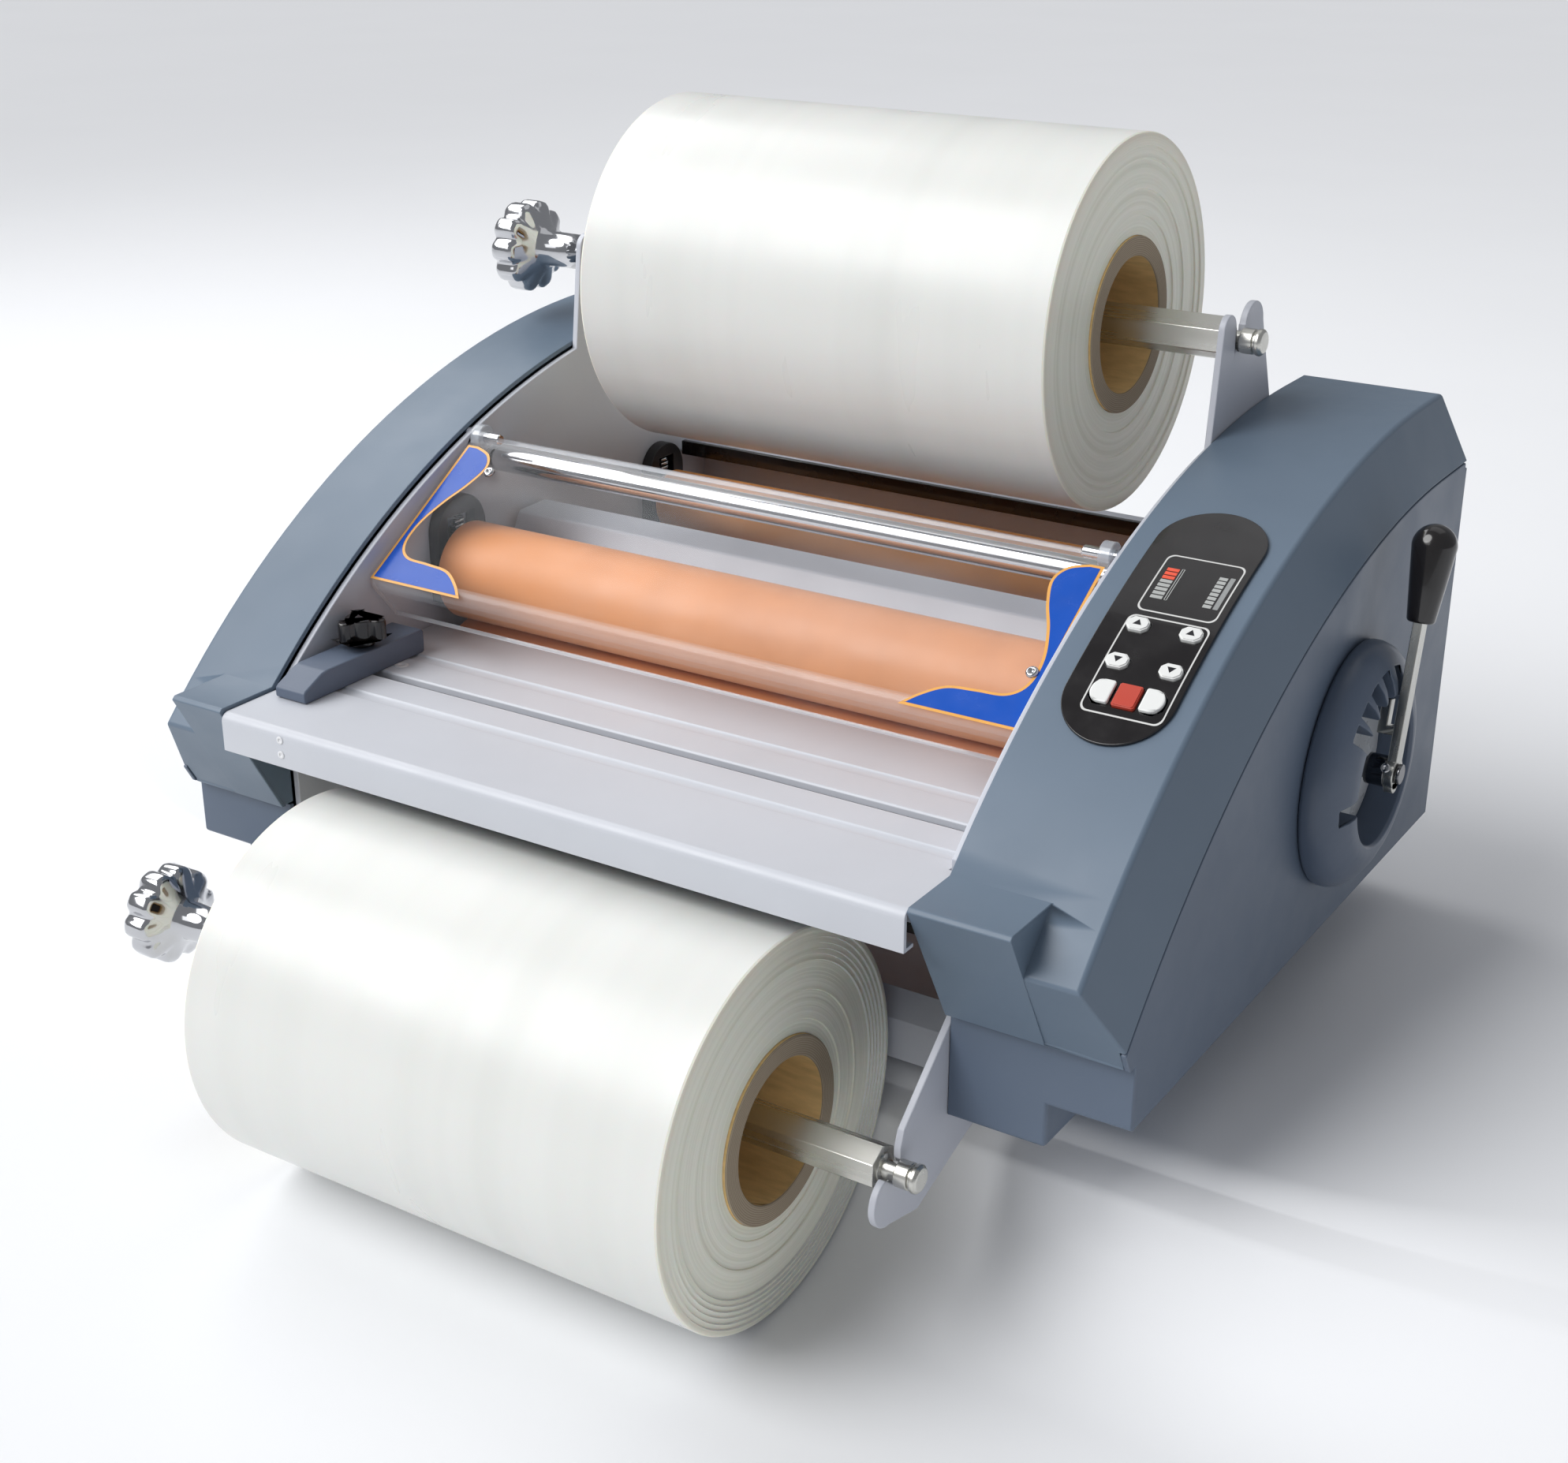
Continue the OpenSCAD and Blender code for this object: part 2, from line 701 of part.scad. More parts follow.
module upper_idler() {
  color([0.82, 0.83, 0.85]) turned_x([
    [0, -plate_out - 1], [4, -plate_out - 1], [4, -plate_in + 3], [idler_r, -plate_in + 3.5],
    [idler_r, plate_in - 3.5], [4, plate_in - 3], [4, plate_out + 1], [0, plate_out + 1]
  ], idler_c);
}

// ---- pressure control ----

// Moulded dial with a rolled outer edge, a recess and detent notches in its rim
module pressure_dial() {
  x0 = right_x + 0.2;
  color([0.3, 0.35, 0.43]) difference() {
    turned_x([
      [shaft_r + 3, x0], [dial_r, x0], [dial_r, x0 + 6], [dial_r - 1.6, x0 + 11],
      [dial_r - 5.5, x0 + 15.5], [dial_r - 11.5, x0 + 19.3], [dial_r - 18, x0 + 22.2],
      [dial_r - 23, dial_face], [dial_rim + 1.5, dial_face], [dial_rim, dial_face - 1.5],
      [dial_rim, x0 + 4], [shaft_r + 3, x0 + 4]
    ], lever_c);
    for (a = [-lever_lean, 5, 21, 36, 50.5, 98]) translate([0, lever_c[0], lever_c[1]])
      rotate([a, 0, 0]) translate([x0 + 8, -5, dial_rim - 3]) cube([20, 10, 18.5]);
  }
}

// Flat bar of the lever with the pointer that stops just short of the dial's rim
module pressure_lever() {
  color([0.75, 0.75, 0.72]) translate([0, lever_c[0], lever_c[1]])
    rotate([-lever_lean, 0, 0]) difference() {
      union() {
        along_x(bar_x[0], bar_x[1]) {
          translate([-5, -6]) square([10, lever_l - 40]);
          translate([0, -6]) circle(r = 5);
          circle(r = 8.5);
        }
        along_x(dial_face - 5, bar_x[0] + over) translate([-3.6, 20]) square([7.2, 5]);
        along_x(dial_face - 8, dial_face - 3) translate([-3.6, 20]) square([7.2, dial_rim - 22]);
      }
      rod_x(bar_x[0] - over, bar_x[1] + over, 3.02, [0, 0]);
    }
}

// Tapered round grip on the end of the bar
module lever_grip() {
  mid = (bar_x[0] + bar_x[1]) / 2;
  color([0.06, 0.05, 0.05]) translate([mid, lever_c[0], lever_c[1]])
    rotate([-lever_lean, 0, 0]) difference() {
      rotate_extrude() union() {
        polygon([[0, lever_l - 52], [7, lever_l - 52], [7.6, lever_l - 51], [11.8, lever_l - 12],
                 [0, lever_l - 12]]);
        intersection() {
          translate([0, lever_l - 12]) circle(r = 11.85);
          translate([0, lever_l - 13]) square([12, 20]);
        }
      }
      translate([-2.6, -5.1, lever_l - 53]) cube([5.2, 10.2, 8]);
    }
}

// Cross shaft with a cam at each side, the lever's hub and its clamp screw
module pressure_shaft() {
  color([0.2, 0.2, 0.21]) {
    rod_x(-rocker_x[1] - 3, dial_face - 9, shaft_r, lever_c);
    both_sides() rod_x(rocker_x[0] + 0.2, rocker_x[1] - 0.2, cam_r, lever_c + [0, cam_e]);
    rod_x(dial_face - 10, bar_x[0] - 0.1, 8.5, lever_c);
    rod_x(bar_x[0] - 1, bar_x[1] + 1, 3, lever_c);
    rod_x(bar_x[1] + 0.1, bar_x[1] + 2.6, 5.5, lever_c);
  }
}

// Rockers outside the frames: the cams press on one end, the other lifts the roller
module lift_rockers() {
  tail = [lever_c[0], lever_c[1] + cam_e - cam_r - 0.6];
  head = [roll_y, upper_c[1] - journal_r - 0.5];
  color([0.6, 0.61, 0.63]) both_sides() difference() {
    along_x(rocker_x[0], rocker_x[1]) {
      translate(rocker_c) circle(r = 10);
      polygon([head + [-8, 0], head + [-8, -6], rocker_c + [-4, -9], rocker_c + [6, 8],
               head + [8, 0]]);
      polygon([tail + [8, 0], tail + [8, -8], rocker_c + [0, -10], rocker_c + [4, -4],
               [rocker_c[0] + 14, tail[1]]]);
    }
    rod_x(rocker_x[0] - over, rocker_x[1] + over, 5.06, rocker_c);
  }
}

// ---- shield ----

// Bent clear sheet with a return lip, hung from two ears on the frame pins
module shield() {
  x = 212;
  t = 3;
  top = shield_c + [-7, -3];
  knee = [-118, 207];
  foot = [-97, 181];
  slope = atan2(top[1] - knee[1], top[0] - knee[0]);
  fall = atan2(foot[1] - knee[1], foot[0] - knee[0]);
  color([0.85, 0.9, 0.95, 0.35]) difference() {
    union() {
      along_x(-x, x) {
        translate(knee) rotate(slope) translate([0, -t / 2]) square([norm(top - knee), t]);
        translate(knee) rotate(fall) translate([0, -t / 2]) square([norm(foot - knee), t]);
        translate(knee) circle(r = t / 2);
        translate(top) circle(r = t / 2);
      }
      both_sides() {
        rod_x(x - 7, x, 7.5, shield_c);
        along_x(x - 7, x) translate(top) rotate(slope) translate([-6, -t / 2]) square([12, 8]);
      }
    }
    both_sides() rod_x(x - 30, x + 5, pin_r + run, shield_c);
  }
}

// ---- film rolls ----

// Hexagonal mandrel: turned necks sit in the frame ears, caps hold it sideways
module mandrel(c) {
  end = plate_in - 3;
  color([0.72, 0.72, 0.69]) union() {
    translate([-end, c[0], c[1]]) rotate([0, 90, 0]) cylinder(h = 2 * end, r = hex_r, $fn = 6);
    turned_x([[0, end - over], [7.5, end - over], [7.5, end + 0.8], [neck_r, end + 1.6],
              [neck_r, plate_out + 1], [7, plate_out + 1.6], [7, plate_out + 8.6],
              [5.8, plate_out + 9], [5.8, plate_out + 10], [7.4, plate_out + 10.4],
              [7.4, plate_out + 12.6], [6, plate_out + 14], [0, plate_out + 14]], c);
    turned_x([[0, -left_x + 10], [neck_r, -left_x + 10], [neck_r, -plate_out - 5.2],
              [8, -plate_out - 5], [8, -plate_out - 1.2], [neck_r, -plate_out - 0.8],
              [neck_r, -end - 1.6], [7.5, -end - 0.8], [7.5, -end + over], [0, -end + over]], c);
  }
}

// Plugs that centre the core on the hexagonal bar
module core_chucks(c) {
  color([0.2, 0.2, 0.22]) both_sides() difference() {
    turned_x([[hex_r - 3, 72], [core_r - 0.1, 72], [core_r - 0.1, 94], [core_r - 2, 98],
              [hex_r - 3, 98]], c);
    translate([70, c[0], c[1]]) rotate([0, 90, 0]) cylinder(h = 30, r = hex_r + 0.1, $fn = 6);
  }
}

module core(c) {
  color([0.72, 0.56, 0.33]) ring_x(-film_w / 2 - 0.5, film_w / 2 + 0.5, core_r + core_wall, core_r, c);
}

// Wound film with slightly rounded outer edges
module film(c) {
  x = film_w / 2;
  inner = core_r + core_wall + 0.1;
  color([0.93, 0.93, 0.92]) turned_x([
    [inner, -x], [film_r - 1.5, -x], [film_r - 0.4, -x + 0.4], [film_r, -x + 1.5],
    [film_r, x - 1.5], [film_r - 0.4, x - 0.4], [film_r - 1.5, x], [inner, x]
  ], c);
}

// Lobed tension knob with its spring sleeve, turning on the mandrel's left end
module tension_knob(c) {
  x0 = -plate_out - 5.6;
  disc = [-left_x + 6, -left_x + 32];
  ring = knob_d / 2;
  lobe = 6;
  color([0.8, 0.81, 0.83]) difference() {
    union() {
      turned_x([[0, x0], [13, x0], [13, x0 - 3], [11, x0 - 4], [11, disc[1] + 3],
                [14, disc[1] + 2], [16, disc[1] - 1], [ring - lobe - 1, disc[1] - 6],
                [ring - lobe - 1, disc[0] + 3], [ring - lobe - 4, disc[0]], [0, disc[0] - 1]], c);
      along_x(disc[0] + 2, disc[1] - 8) translate(c) {
        circle(r = ring - 4);
        for (i = [0 : knob_lobes - 1]) rotate(i * 360 / knob_lobes) translate([ring - lobe, 0])
          circle(r = lobe, $fn = 48);
      }
    }
    rod_x(disc[0] - 2, x0 + over, neck_r + run, c);
  }
}

module upper_mandrel() mandrel(upper_roll_c);
module upper_core_chucks() core_chucks(upper_roll_c);
module upper_core() core(upper_roll_c);
module upper_film() film(upper_roll_c);
module upper_tension_knob() tension_knob(upper_roll_c);
module lower_mandrel() mandrel(lower_roll_c);
module lower_core_chucks() core_chucks(lower_roll_c);
module lower_core() core(lower_roll_c);
module lower_film() film(lower_roll_c);
module lower_tension_knob() tension_knob(lower_roll_c);

// ---- control panel ----

// name, x from the panel's middle line, y, width, height, corner cut, colour
BUTTONS = [
  ["temp_up_button", -10, -67, 11.5, 9, 2.5, "white"],
  ["temp_down_button", -10, -89, 11.5, 9, 2.5, "white"],
  ["speed_up_button", 18, -67, 11.5, 9, 2.5, "white"],
  ["speed_down_button", 18, -89, 11.5, 9, 2.5, "white"],
  ["reverse_button", -9.8, -106, 11.5, 14, 4, "white"],
  ["run_stop_button", 3.8, -106, 12, 14, 0.8, "firebrick"],
  ["standby_button", 17.4, -106, 11.5, 14, 4, "white"]
];

module button_at(b) on_arch(panel_x + b[1], b[2]) children();

module button_2d(b, grow) cut_rect(b[3] + 2 * grow, b[4] + 2 * grow, b[5]);

// One key: the cap runs through panel and cover, a flange below keeps it in
module button(b) {
  color(b[6]) button_at(b) {
    translate([0, 0, -wall - 1.5]) linear_extrude(wall + 1.5 + panel_t + button_rise - 0.6)
      button_2d(b, 0);
    translate([0, 0, panel_t + button_rise - 0.6 - 0.01]) linear_extrude(0.61) button_2d(b, -0.5);
    translate([0, 0, -wall - 2.3]) linear_extrude(1.6) button_2d(b, 0.7);
  }
}

module temp_up_button() button(BUTTONS[0]);
module temp_down_button() button(BUTTONS[1]);
module speed_up_button() button(BUTTONS[2]);
module speed_down_button() button(BUTTONS[3]);
module reverse_button() button(BUTTONS[4]);
module run_stop_button() button(BUTTONS[5]);
module standby_button() button(BUTTONS[6]);

// Oval panel that follows the arch
module control_panel() {
  r = panel_w / 2;
  half = panel_l / 2 - r;
  color([0.1, 0.08, 0.08]) difference() {
    intersection() {
      ring_x(panel_x - r - over, panel_x + r + over, arch_r + panel_t, arch_r + 0.1, arch_c);
      on_arch(panel_x, panel_y) translate([0, 0, -20]) linear_extrude(40) {
        translate([0, half]) circle(r = r);
        translate([0, -half]) circle(r = r);
        square([panel_w, 2 * half], center = true);
      }
    }
    for (b = BUTTONS) button_at(b) translate([0, 0, -2]) linear_extrude(8) button_2d(b, gap);
  }
}

// Circuit board on four stand-offs, with its larger components
module control_board() {
  x = plate_out + 34;
  y = [-150, -55];
  z = [108, 182];
  color([0.12, 0.35, 0.2]) {
    translate([x, y[0], z[0]]) cube([1.6, y[1] - y[0], z[1] - z[0]]);
    for (p = [[y[0] + 5, z[0] + 5], [y[0] + 5, z[1] - 22], [y[1] - 5, z[0] + 5], [y[1] - 5, z[1] - 5]])
      rod_x(plate_out + 0.1, x + over, 3, p);
    translate([x + 1.2, y[0] + 12, z[0] + 8]) cube([24, 30, 24]);
    translate([x + 1.2, y[0] + 52, z[0] + 12]) cube([5, 26, 14]);
    for (i = [0 : 2]) rod_x(x + 1.2, x + 18, 6, [y[0] + 54 + 15 * i, z[0] + 50]);
  }
}

// Mains inlet and switch frame, one moulded unit in the back sheet
module power_inlet() {
  color([0.05, 0.05, 0.05]) difference() {
    union() {
      translate([118.3, 208, 40.3]) cube([59.4, 21, 19.4]);
      translate([114, 228.2, 36]) cube([68, 2, 28]);
    }
    translate([153, 212, 43]) cube([22, 20, 14]);
    translate([121, 214, 41.5]) cube([17, 20, 17]);
    rod_x(119.2, 139.8, 1.55, switch_c);
  }
}

// Rocker of the power switch, tilted to its off position
module power_rocker() {
  half = 8;
  color([0.6, 0.08, 0.07]) translate([0, switch_c[0], switch_c[1]])
    rotate([-rocker_tilt, 0, 0]) {
      along_x(121.5, 137.5) polygon([[-8, -3], [-8, 3], [0, half - 1], [3.2, half - 0.6],
                                     [2, 0], [3.2, -half + 0.6], [0, -half + 1]]);
      rod_x(119.5, 139.5, 1.5, [0, 0]);
    }
}

// ---- side guide ----

// Paper guide that slides across the table
module side_guide() {
  w = 22.4;
  base = table_z + gap;
  color([0.33, 0.38, 0.46]) difference() {
    along_x(guide_x - w / 2, guide_x + w / 2) polygon([
      [guide_y[0], base], [guide_y[0], base + 6], [guide_y[0] + 2, base + 7.5],
      [guide_y[0] + 15, base + 13.6], [guide_y[0] + 19, base + 14.6], [guide_y[1] - 2, base + 14.6],
      [guide_y[1], base + 12.6], [guide_y[1], base]
    ]);
    translate([guide_x, slot_y, base - over]) cylinder(h = 20, r = 3.06);
  }
}

// Three-lobed clamp knob with its stud and T-nut
module guide_knob() {
  top = table_z + gap + 14.6;
  color([0.05, 0.05, 0.05]) translate([guide_x, slot_y, 0]) {
    translate([0, 0, top + 0.2]) cylinder(h = 6, r = 7.5);
    translate([0, 0, top + 5]) cylinder(h = 12, r = 9);
    for (a = [20, 140, 260]) rotate(a) translate([0, -4.5, top + 5]) cube([10.6, 9, 11.5]);
    for (a = [20, 140, 260]) rotate(a) translate([10.6, 0, top + 5]) cylinder(h = 11.5, r = 4.5);
    translate([0, 0, table_z - 9.5]) cylinder(h = top + 2 - table_z + 9.5, r = 3);
    translate([0, 0, table_z - 10]) cylinder(h = 3, r = 5.8);
  }
}

side_frame_left();
side_frame_right();
base_pan();
rear_panel();
feed_table();
upper_cover_left();
lower_cover_left();
upper_cover_right();
lower_cover_right();
pressure_dial();
control_panel();
control_board();
feet();
shield_pins();
roller_bearings();
lower_heater();
drive_belt();
gearmotor();
power_inlet();
power_rocker();
upper_bearing_blocks();
upper_heater();
pressure_springs();
upper_roller_tube();
upper_roller_sleeve();
upper_roller_gear();
lower_roller_tube();
lower_roller_sleeve();
lower_roller_gear();
lower_pull_shaft();
lower_pull_sleeve();
pull_pulley();
upper_pull_shaft();
upper_pull_sleeve();
motor_pinion();
upper_idler();
pressure_lever();
lever_grip();
pressure_shaft();
lift_rockers();
shield();
upper_mandrel();
upper_core_chucks();
upper_core();
upper_film();
upper_tension_knob();
lower_mandrel();
lower_core_chucks();
lower_core();
lower_film();
lower_tension_knob();
temp_up_button();
temp_down_button();
speed_up_button();
speed_down_button();
reverse_button();
run_stop_button();
standby_button();
side_guide();
guide_knob();
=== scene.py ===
"""Looks of a desktop roll laminator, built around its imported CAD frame. Metres."""

import json
import math

import bmesh
import bpy
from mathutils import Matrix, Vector


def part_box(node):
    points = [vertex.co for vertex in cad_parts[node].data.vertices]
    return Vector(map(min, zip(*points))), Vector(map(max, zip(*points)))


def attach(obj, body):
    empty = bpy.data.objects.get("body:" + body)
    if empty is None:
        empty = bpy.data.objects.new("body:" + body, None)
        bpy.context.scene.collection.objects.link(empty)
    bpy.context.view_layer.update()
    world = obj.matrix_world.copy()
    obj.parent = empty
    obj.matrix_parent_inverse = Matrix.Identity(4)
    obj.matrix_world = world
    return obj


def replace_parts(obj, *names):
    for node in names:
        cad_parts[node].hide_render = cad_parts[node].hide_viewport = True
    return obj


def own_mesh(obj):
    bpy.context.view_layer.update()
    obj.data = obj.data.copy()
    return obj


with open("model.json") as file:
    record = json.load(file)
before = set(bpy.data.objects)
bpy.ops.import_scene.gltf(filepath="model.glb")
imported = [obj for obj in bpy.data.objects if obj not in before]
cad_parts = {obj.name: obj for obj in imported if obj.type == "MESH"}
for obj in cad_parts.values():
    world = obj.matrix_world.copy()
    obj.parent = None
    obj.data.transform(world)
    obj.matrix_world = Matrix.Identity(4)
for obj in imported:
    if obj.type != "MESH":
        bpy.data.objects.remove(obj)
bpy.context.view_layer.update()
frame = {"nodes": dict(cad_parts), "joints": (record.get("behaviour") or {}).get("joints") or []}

MM = 0.001

# ---- places taken from the frame ----


def middle(node):
    """(y, z) of the middle of a node's box."""
    low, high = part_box(node)
    return (low.y + high.y) / 2, (low.z + high.z) / 2


JOINTS = {j["name"]: j for j in frame["joints"]}


def hinge_yz(name):
    """(y, z) of a hinge that turns about X."""
    return tuple(JOINTS[name]["pos_m"][1:])


UPPER_ROLL = hinge_yz("upper_roll_spin")
LOWER_ROLL = hinge_yz("lower_roll_spin")
LEVER = hinge_yz("lever_turn")
LEVER_LEAN = math.radians(13.5)
SHIELD = hinge_yz("shield_tilt")
FRAME_IN = -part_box("side_frame_left")[1].x
TABLE_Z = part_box("feed_table")[1].z
LIP_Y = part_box("feed_table")[0].y
HOUSING_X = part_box("upper_cover_right")[1].x
DIAL_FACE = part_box("pressure_dial")[1].x
ARCH_R = 566 * MM
ARCH_Y = 190 * MM
ARCH_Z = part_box("upper_cover_right")[1].z - ARCH_R
PANEL_TOP = 1.8 * MM

# ---- materials ----


def srgb(r, g, b, a=1.0):
    """Linear colour of an sRGB colour given as 0 to 255."""
    def one(c):
        c /= 255
        return c / 12.92 if c <= 0.04045 else ((c + 0.055) / 1.055) ** 2.4
    return one(r), one(g), one(b), a


class Look:
    """A Principled material on object coordinates, with helpers that add detail."""

    def __init__(self, name, colour, roughness, metallic=0.0, **sockets):
        self.material = bpy.data.materials.new(name)
        self.material.use_nodes = True
        self.tree = self.material.node_tree
        self.shader = self.tree.nodes["Principled BSDF"]
        self.colour = colour
        self.heights = []
        self.set("Base Color", colour)
        self.set("Roughness", roughness)
        self.set("Metallic", metallic)
        for socket, value in sockets.items():
            self.set(socket.replace("_", " "), value)
        self.coords = self.node("ShaderNodeTexCoord").outputs["Object"]

    def node(self, kind, **settings):
        made = self.tree.nodes.new(kind)
        for key, value in settings.items():
            setattr(made, key, value)
        return made

    def set(self, socket, value):
        self.shader.inputs[socket].default_value = value

    def link(self, output, socket):
        self.tree.links.new(output, socket)

    def math(self, operation, a, b=0.0):
        """A math node on outputs or numbers."""
        made = self.node("ShaderNodeMath", operation=operation)
        for socket, value in zip(made.inputs, (a, b)):
            if isinstance(value, (int, float)):
                socket.default_value = value
            else:
                self.link(value, socket)
        return made.outputs[0]

    def noise(self, scale, detail=3.0, stretch=(1, 1, 1), vector=None):
        """Noise with features about 1 / scale metres across."""
        mapping = self.node("ShaderNodeMapping")
        mapping.inputs["Scale"].default_value = stretch
        self.link(vector or self.coords, mapping.inputs["Vector"])
        texture = self.node("ShaderNodeTexNoise")
        texture.inputs["Scale"].default_value = scale
        texture.inputs["Detail"].default_value = detail
        self.link(mapping.outputs[0], texture.inputs["Vector"])
        return texture.outputs["Fac"]

    def spread(self, output, low, high, start=0.3, end=0.7):
        """The output between start and end, spread from low to high."""
        made = self.node("ShaderNodeMapRange")
        for socket, value in zip(made.inputs[1:], (start, end, low, high)):
            socket.default_value = value
        self.link(output, made.inputs[0])
        return made.outputs[0]

    def tint(self, factor, colour, strength=1.0):
        """Mixes a second colour into the base where the factor is high."""
        mix = self.node("ShaderNodeMix", data_type="RGBA")
        mix.inputs[0].default_value = 0
        share = self.math("MULTIPLY", factor, strength)
        self.link(share, mix.inputs[0])
        old = self.shader.inputs["Base Color"]
        if old.is_linked:
            self.link(old.links[0].from_socket, mix.inputs[6])
        else:
            mix.inputs[6].default_value = self.colour
        mix.inputs[7].default_value = colour
        self.link(mix.outputs[2], old)
        return self

    def mottle(self, amount, scale, stretch=(1, 1, 1)):
        """Slow variation of the base colour, darker and lighter by the amount."""
        dark = tuple(c * (1 - amount) for c in self.colour[:3]) + (1,)
        light = tuple(min(1, c * (1 + amount)) for c in self.colour[:3]) + (1,)
        factor = self.noise(scale, 4, stretch)
        self.tint(self.spread(factor, 0, 1, 0.5, 0.7), light)
        self.tint(self.spread(factor, 1, 0, 0.3, 0.5), dark)
        return self

    def polish(self, low, high, scale, stretch=(1, 1, 1)):
        """Roughness that wanders between low and high."""
        self.link(self.spread(self.noise(scale, 4, stretch), low, high),
                  self.shader.inputs["Roughness"])
        return self

    def relief(self, height, depth):
        """Bump of the given depth in metres; further calls add to it."""
        bump = self.node("ShaderNodeBump")
        bump.inputs["Strength"].default_value = 1.0
        bump.inputs["Distance"].default_value = depth
        self.link(height, bump.inputs["Height"])
        if self.heights:
            self.link(self.heights[-1], bump.inputs["Normal"])
        self.heights.append(bump.outputs[0])
        self.link(bump.outputs[0], self.shader.inputs["Normal"])
        return self

    def radius_from(self, y, z):
        """Distance from an axis along X through (y, z)."""
        split = self.node("ShaderNodeSeparateXYZ")
        self.link(self.coords, split.inputs[0])
        dy = self.math("SUBTRACT", split.outputs[1], y)
        dz = self.math("SUBTRACT", split.outputs[2], z)
        self.parts = (split.outputs[0], dy, dz)
        squares = self.math("ADD", self.math("MULTIPLY", dy, dy), self.math("MULTIPLY", dz, dz))
        return self.math("SQRT", squares)


def moulded(name, colour, low=0.36, high=0.46):
    """Satin moulded plastic with a fine spark-eroded grain."""
    look = Look(name, colour, low, Specular_IOR_Level=0.45)
    look.mottle(0.05, 9).polish(low, high, 30)
    look.relief(look.noise(1900, 2), 0.018 * MM)
    return look.relief(look.noise(60, 2), 0.05 * MM).material


def powder_coat(name, colour):
    """Powder coat: faint orange peel."""
    look = Look(name, colour, 0.4, Specular_IOR_Level=0.5)
    look.mottle(0.025, 12).polish(0.34, 0.44, 45)
    return look.relief(look.noise(700, 2), 0.02 * MM).material


def brushed(name, colour, stretch, roughness=0.3):
    """Metal with fine parallel scratches; stretch is small along the scratches."""
    look = Look(name, colour, roughness, 1.0)
    look.mottle(0.08, 14).polish(roughness - 0.07, roughness + 0.1, 120, stretch)
    return look.relief(look.noise(900, 3, stretch), 0.012 * MM).material


def chrome(name, tone=195):
    """Plated metal with faint smears."""
    look = Look(name, srgb(tone, tone + 1, tone + 4), 0.08, 1.0)
    look.polish(0.05, 0.16, 70)
    return look.relief(look.noise(220, 2), 0.006 * MM).material


def rubber(name, colour, grain=1200):
    """Matt moulded rubber with a coarse grain."""
    look = Look(name, colour, 0.62, Specular_IOR_Level=0.3)
    look.mottle(0.12, 60).polish(0.55, 0.7, 90)
    return look.relief(look.noise(grain, 3), 0.03 * MM).material


def gloss(name, colour, roughness=0.12):
    """Gloss plastic with slight waviness and dust-fine wear."""
    look = Look(name, colour, roughness, Coat_Weight=0.4, Coat_Roughness=0.05)
    look.mottle(0.1, 40).polish(roughness * 0.7, roughness * 1.8, 55)
    return look.relief(look.noise(140, 2), 0.02 * MM).material


def silicone(name, colour, stain):
    """Silicone roller cover: matt sheen, faint stains and rub marks around it."""
    look = Look(name, colour, 0.42, Specular_IOR_Level=0.4, Sheen_Weight=0.15)
    look.mottle(0.05, 25, (1, 0.4, 0.4))
    look.tint(look.spread(look.noise(16, 5), 0, 1, 0.56, 0.75), stain, 0.35)
    look.polish(0.34, 0.52, 40)
    return look.relief(look.noise(800, 2, (1, 0.3, 0.3)), 0.015 * MM).material


def clear_sheet(name, clearest, haziest, tone=(235, 240, 246)):
    """Clear acrylic with faint hazy smears; the two numbers bound its opacity."""
    look = Look(name, srgb(*tone), 0.03, Specular_IOR_Level=1.0)
    smears = look.noise(14, 4, (0.35, 1, 1))
    look.link(look.spread(smears, clearest, haziest, 0.42, 0.72), look.shader.inputs["Alpha"])
    look.polish(0.02, 0.09, 18)
    return look.relief(look.noise(9, 2), 0.12 * MM).material


def cardboard(name, centre):
    """Spiral-wound board: fibres and the dark line of the winding."""
    look = Look(name, srgb(244, 208, 146), 0.8, Specular_IOR_Level=0.2)
    look.mottle(0.1, 260, (0.25, 1, 1))
    look.radius_from(*centre)
    x, dy, dz = look.parts
    turns = look.math("DIVIDE", look.math("ARCTAN2", dy, dz), 2 * math.pi)
    wound = look.math("FRACT", look.math("ADD", turns, look.math("DIVIDE", x, 105 * MM)))
    line = look.math("LESS_THAN", wound, 0.022)
    look.tint(line, srgb(120, 86, 46), 0.75)
    look.relief(line, -0.25 * MM)
    return look.relief(look.noise(900, 4), 0.06 * MM).material


def board_end(name, centre):
    """End of the cardboard core: grey-brown plies."""
    look = Look(name, srgb(180, 165, 144), 0.85, Specular_IOR_Level=0.2)
    radius = look.radius_from(*centre)
    plies = look.math("FRACT", look.math("DIVIDE", radius, 1.1 * MM))
    look.tint(look.spread(plies, 0, 1, 0.2, 0.8), srgb(140, 125, 106), 0.7)
    look.relief(plies, 0.12 * MM)
    return look.relief(look.noise(1400, 3), 0.08 * MM).material


def film_face(name):
    """Outside of the wound film: satin white with faint bands around it."""
    look = Look(name, srgb(226, 227, 223), 0.34, Specular_IOR_Level=0.5,
                Subsurface_Weight=0.12, Subsurface_Scale=0.01)
    look.tint(look.spread(look.noise(30, 2, (1, 0.02, 0.02)), 0, 1, 0.45, 0.75),
              srgb(212, 214, 209), 0.35)
    look.polish(0.26, 0.4, 22, (1, 0.2, 0.2))
    return look.relief(look.noise(24, 2, (1, 0.15, 0.15)), 0.05 * MM).material


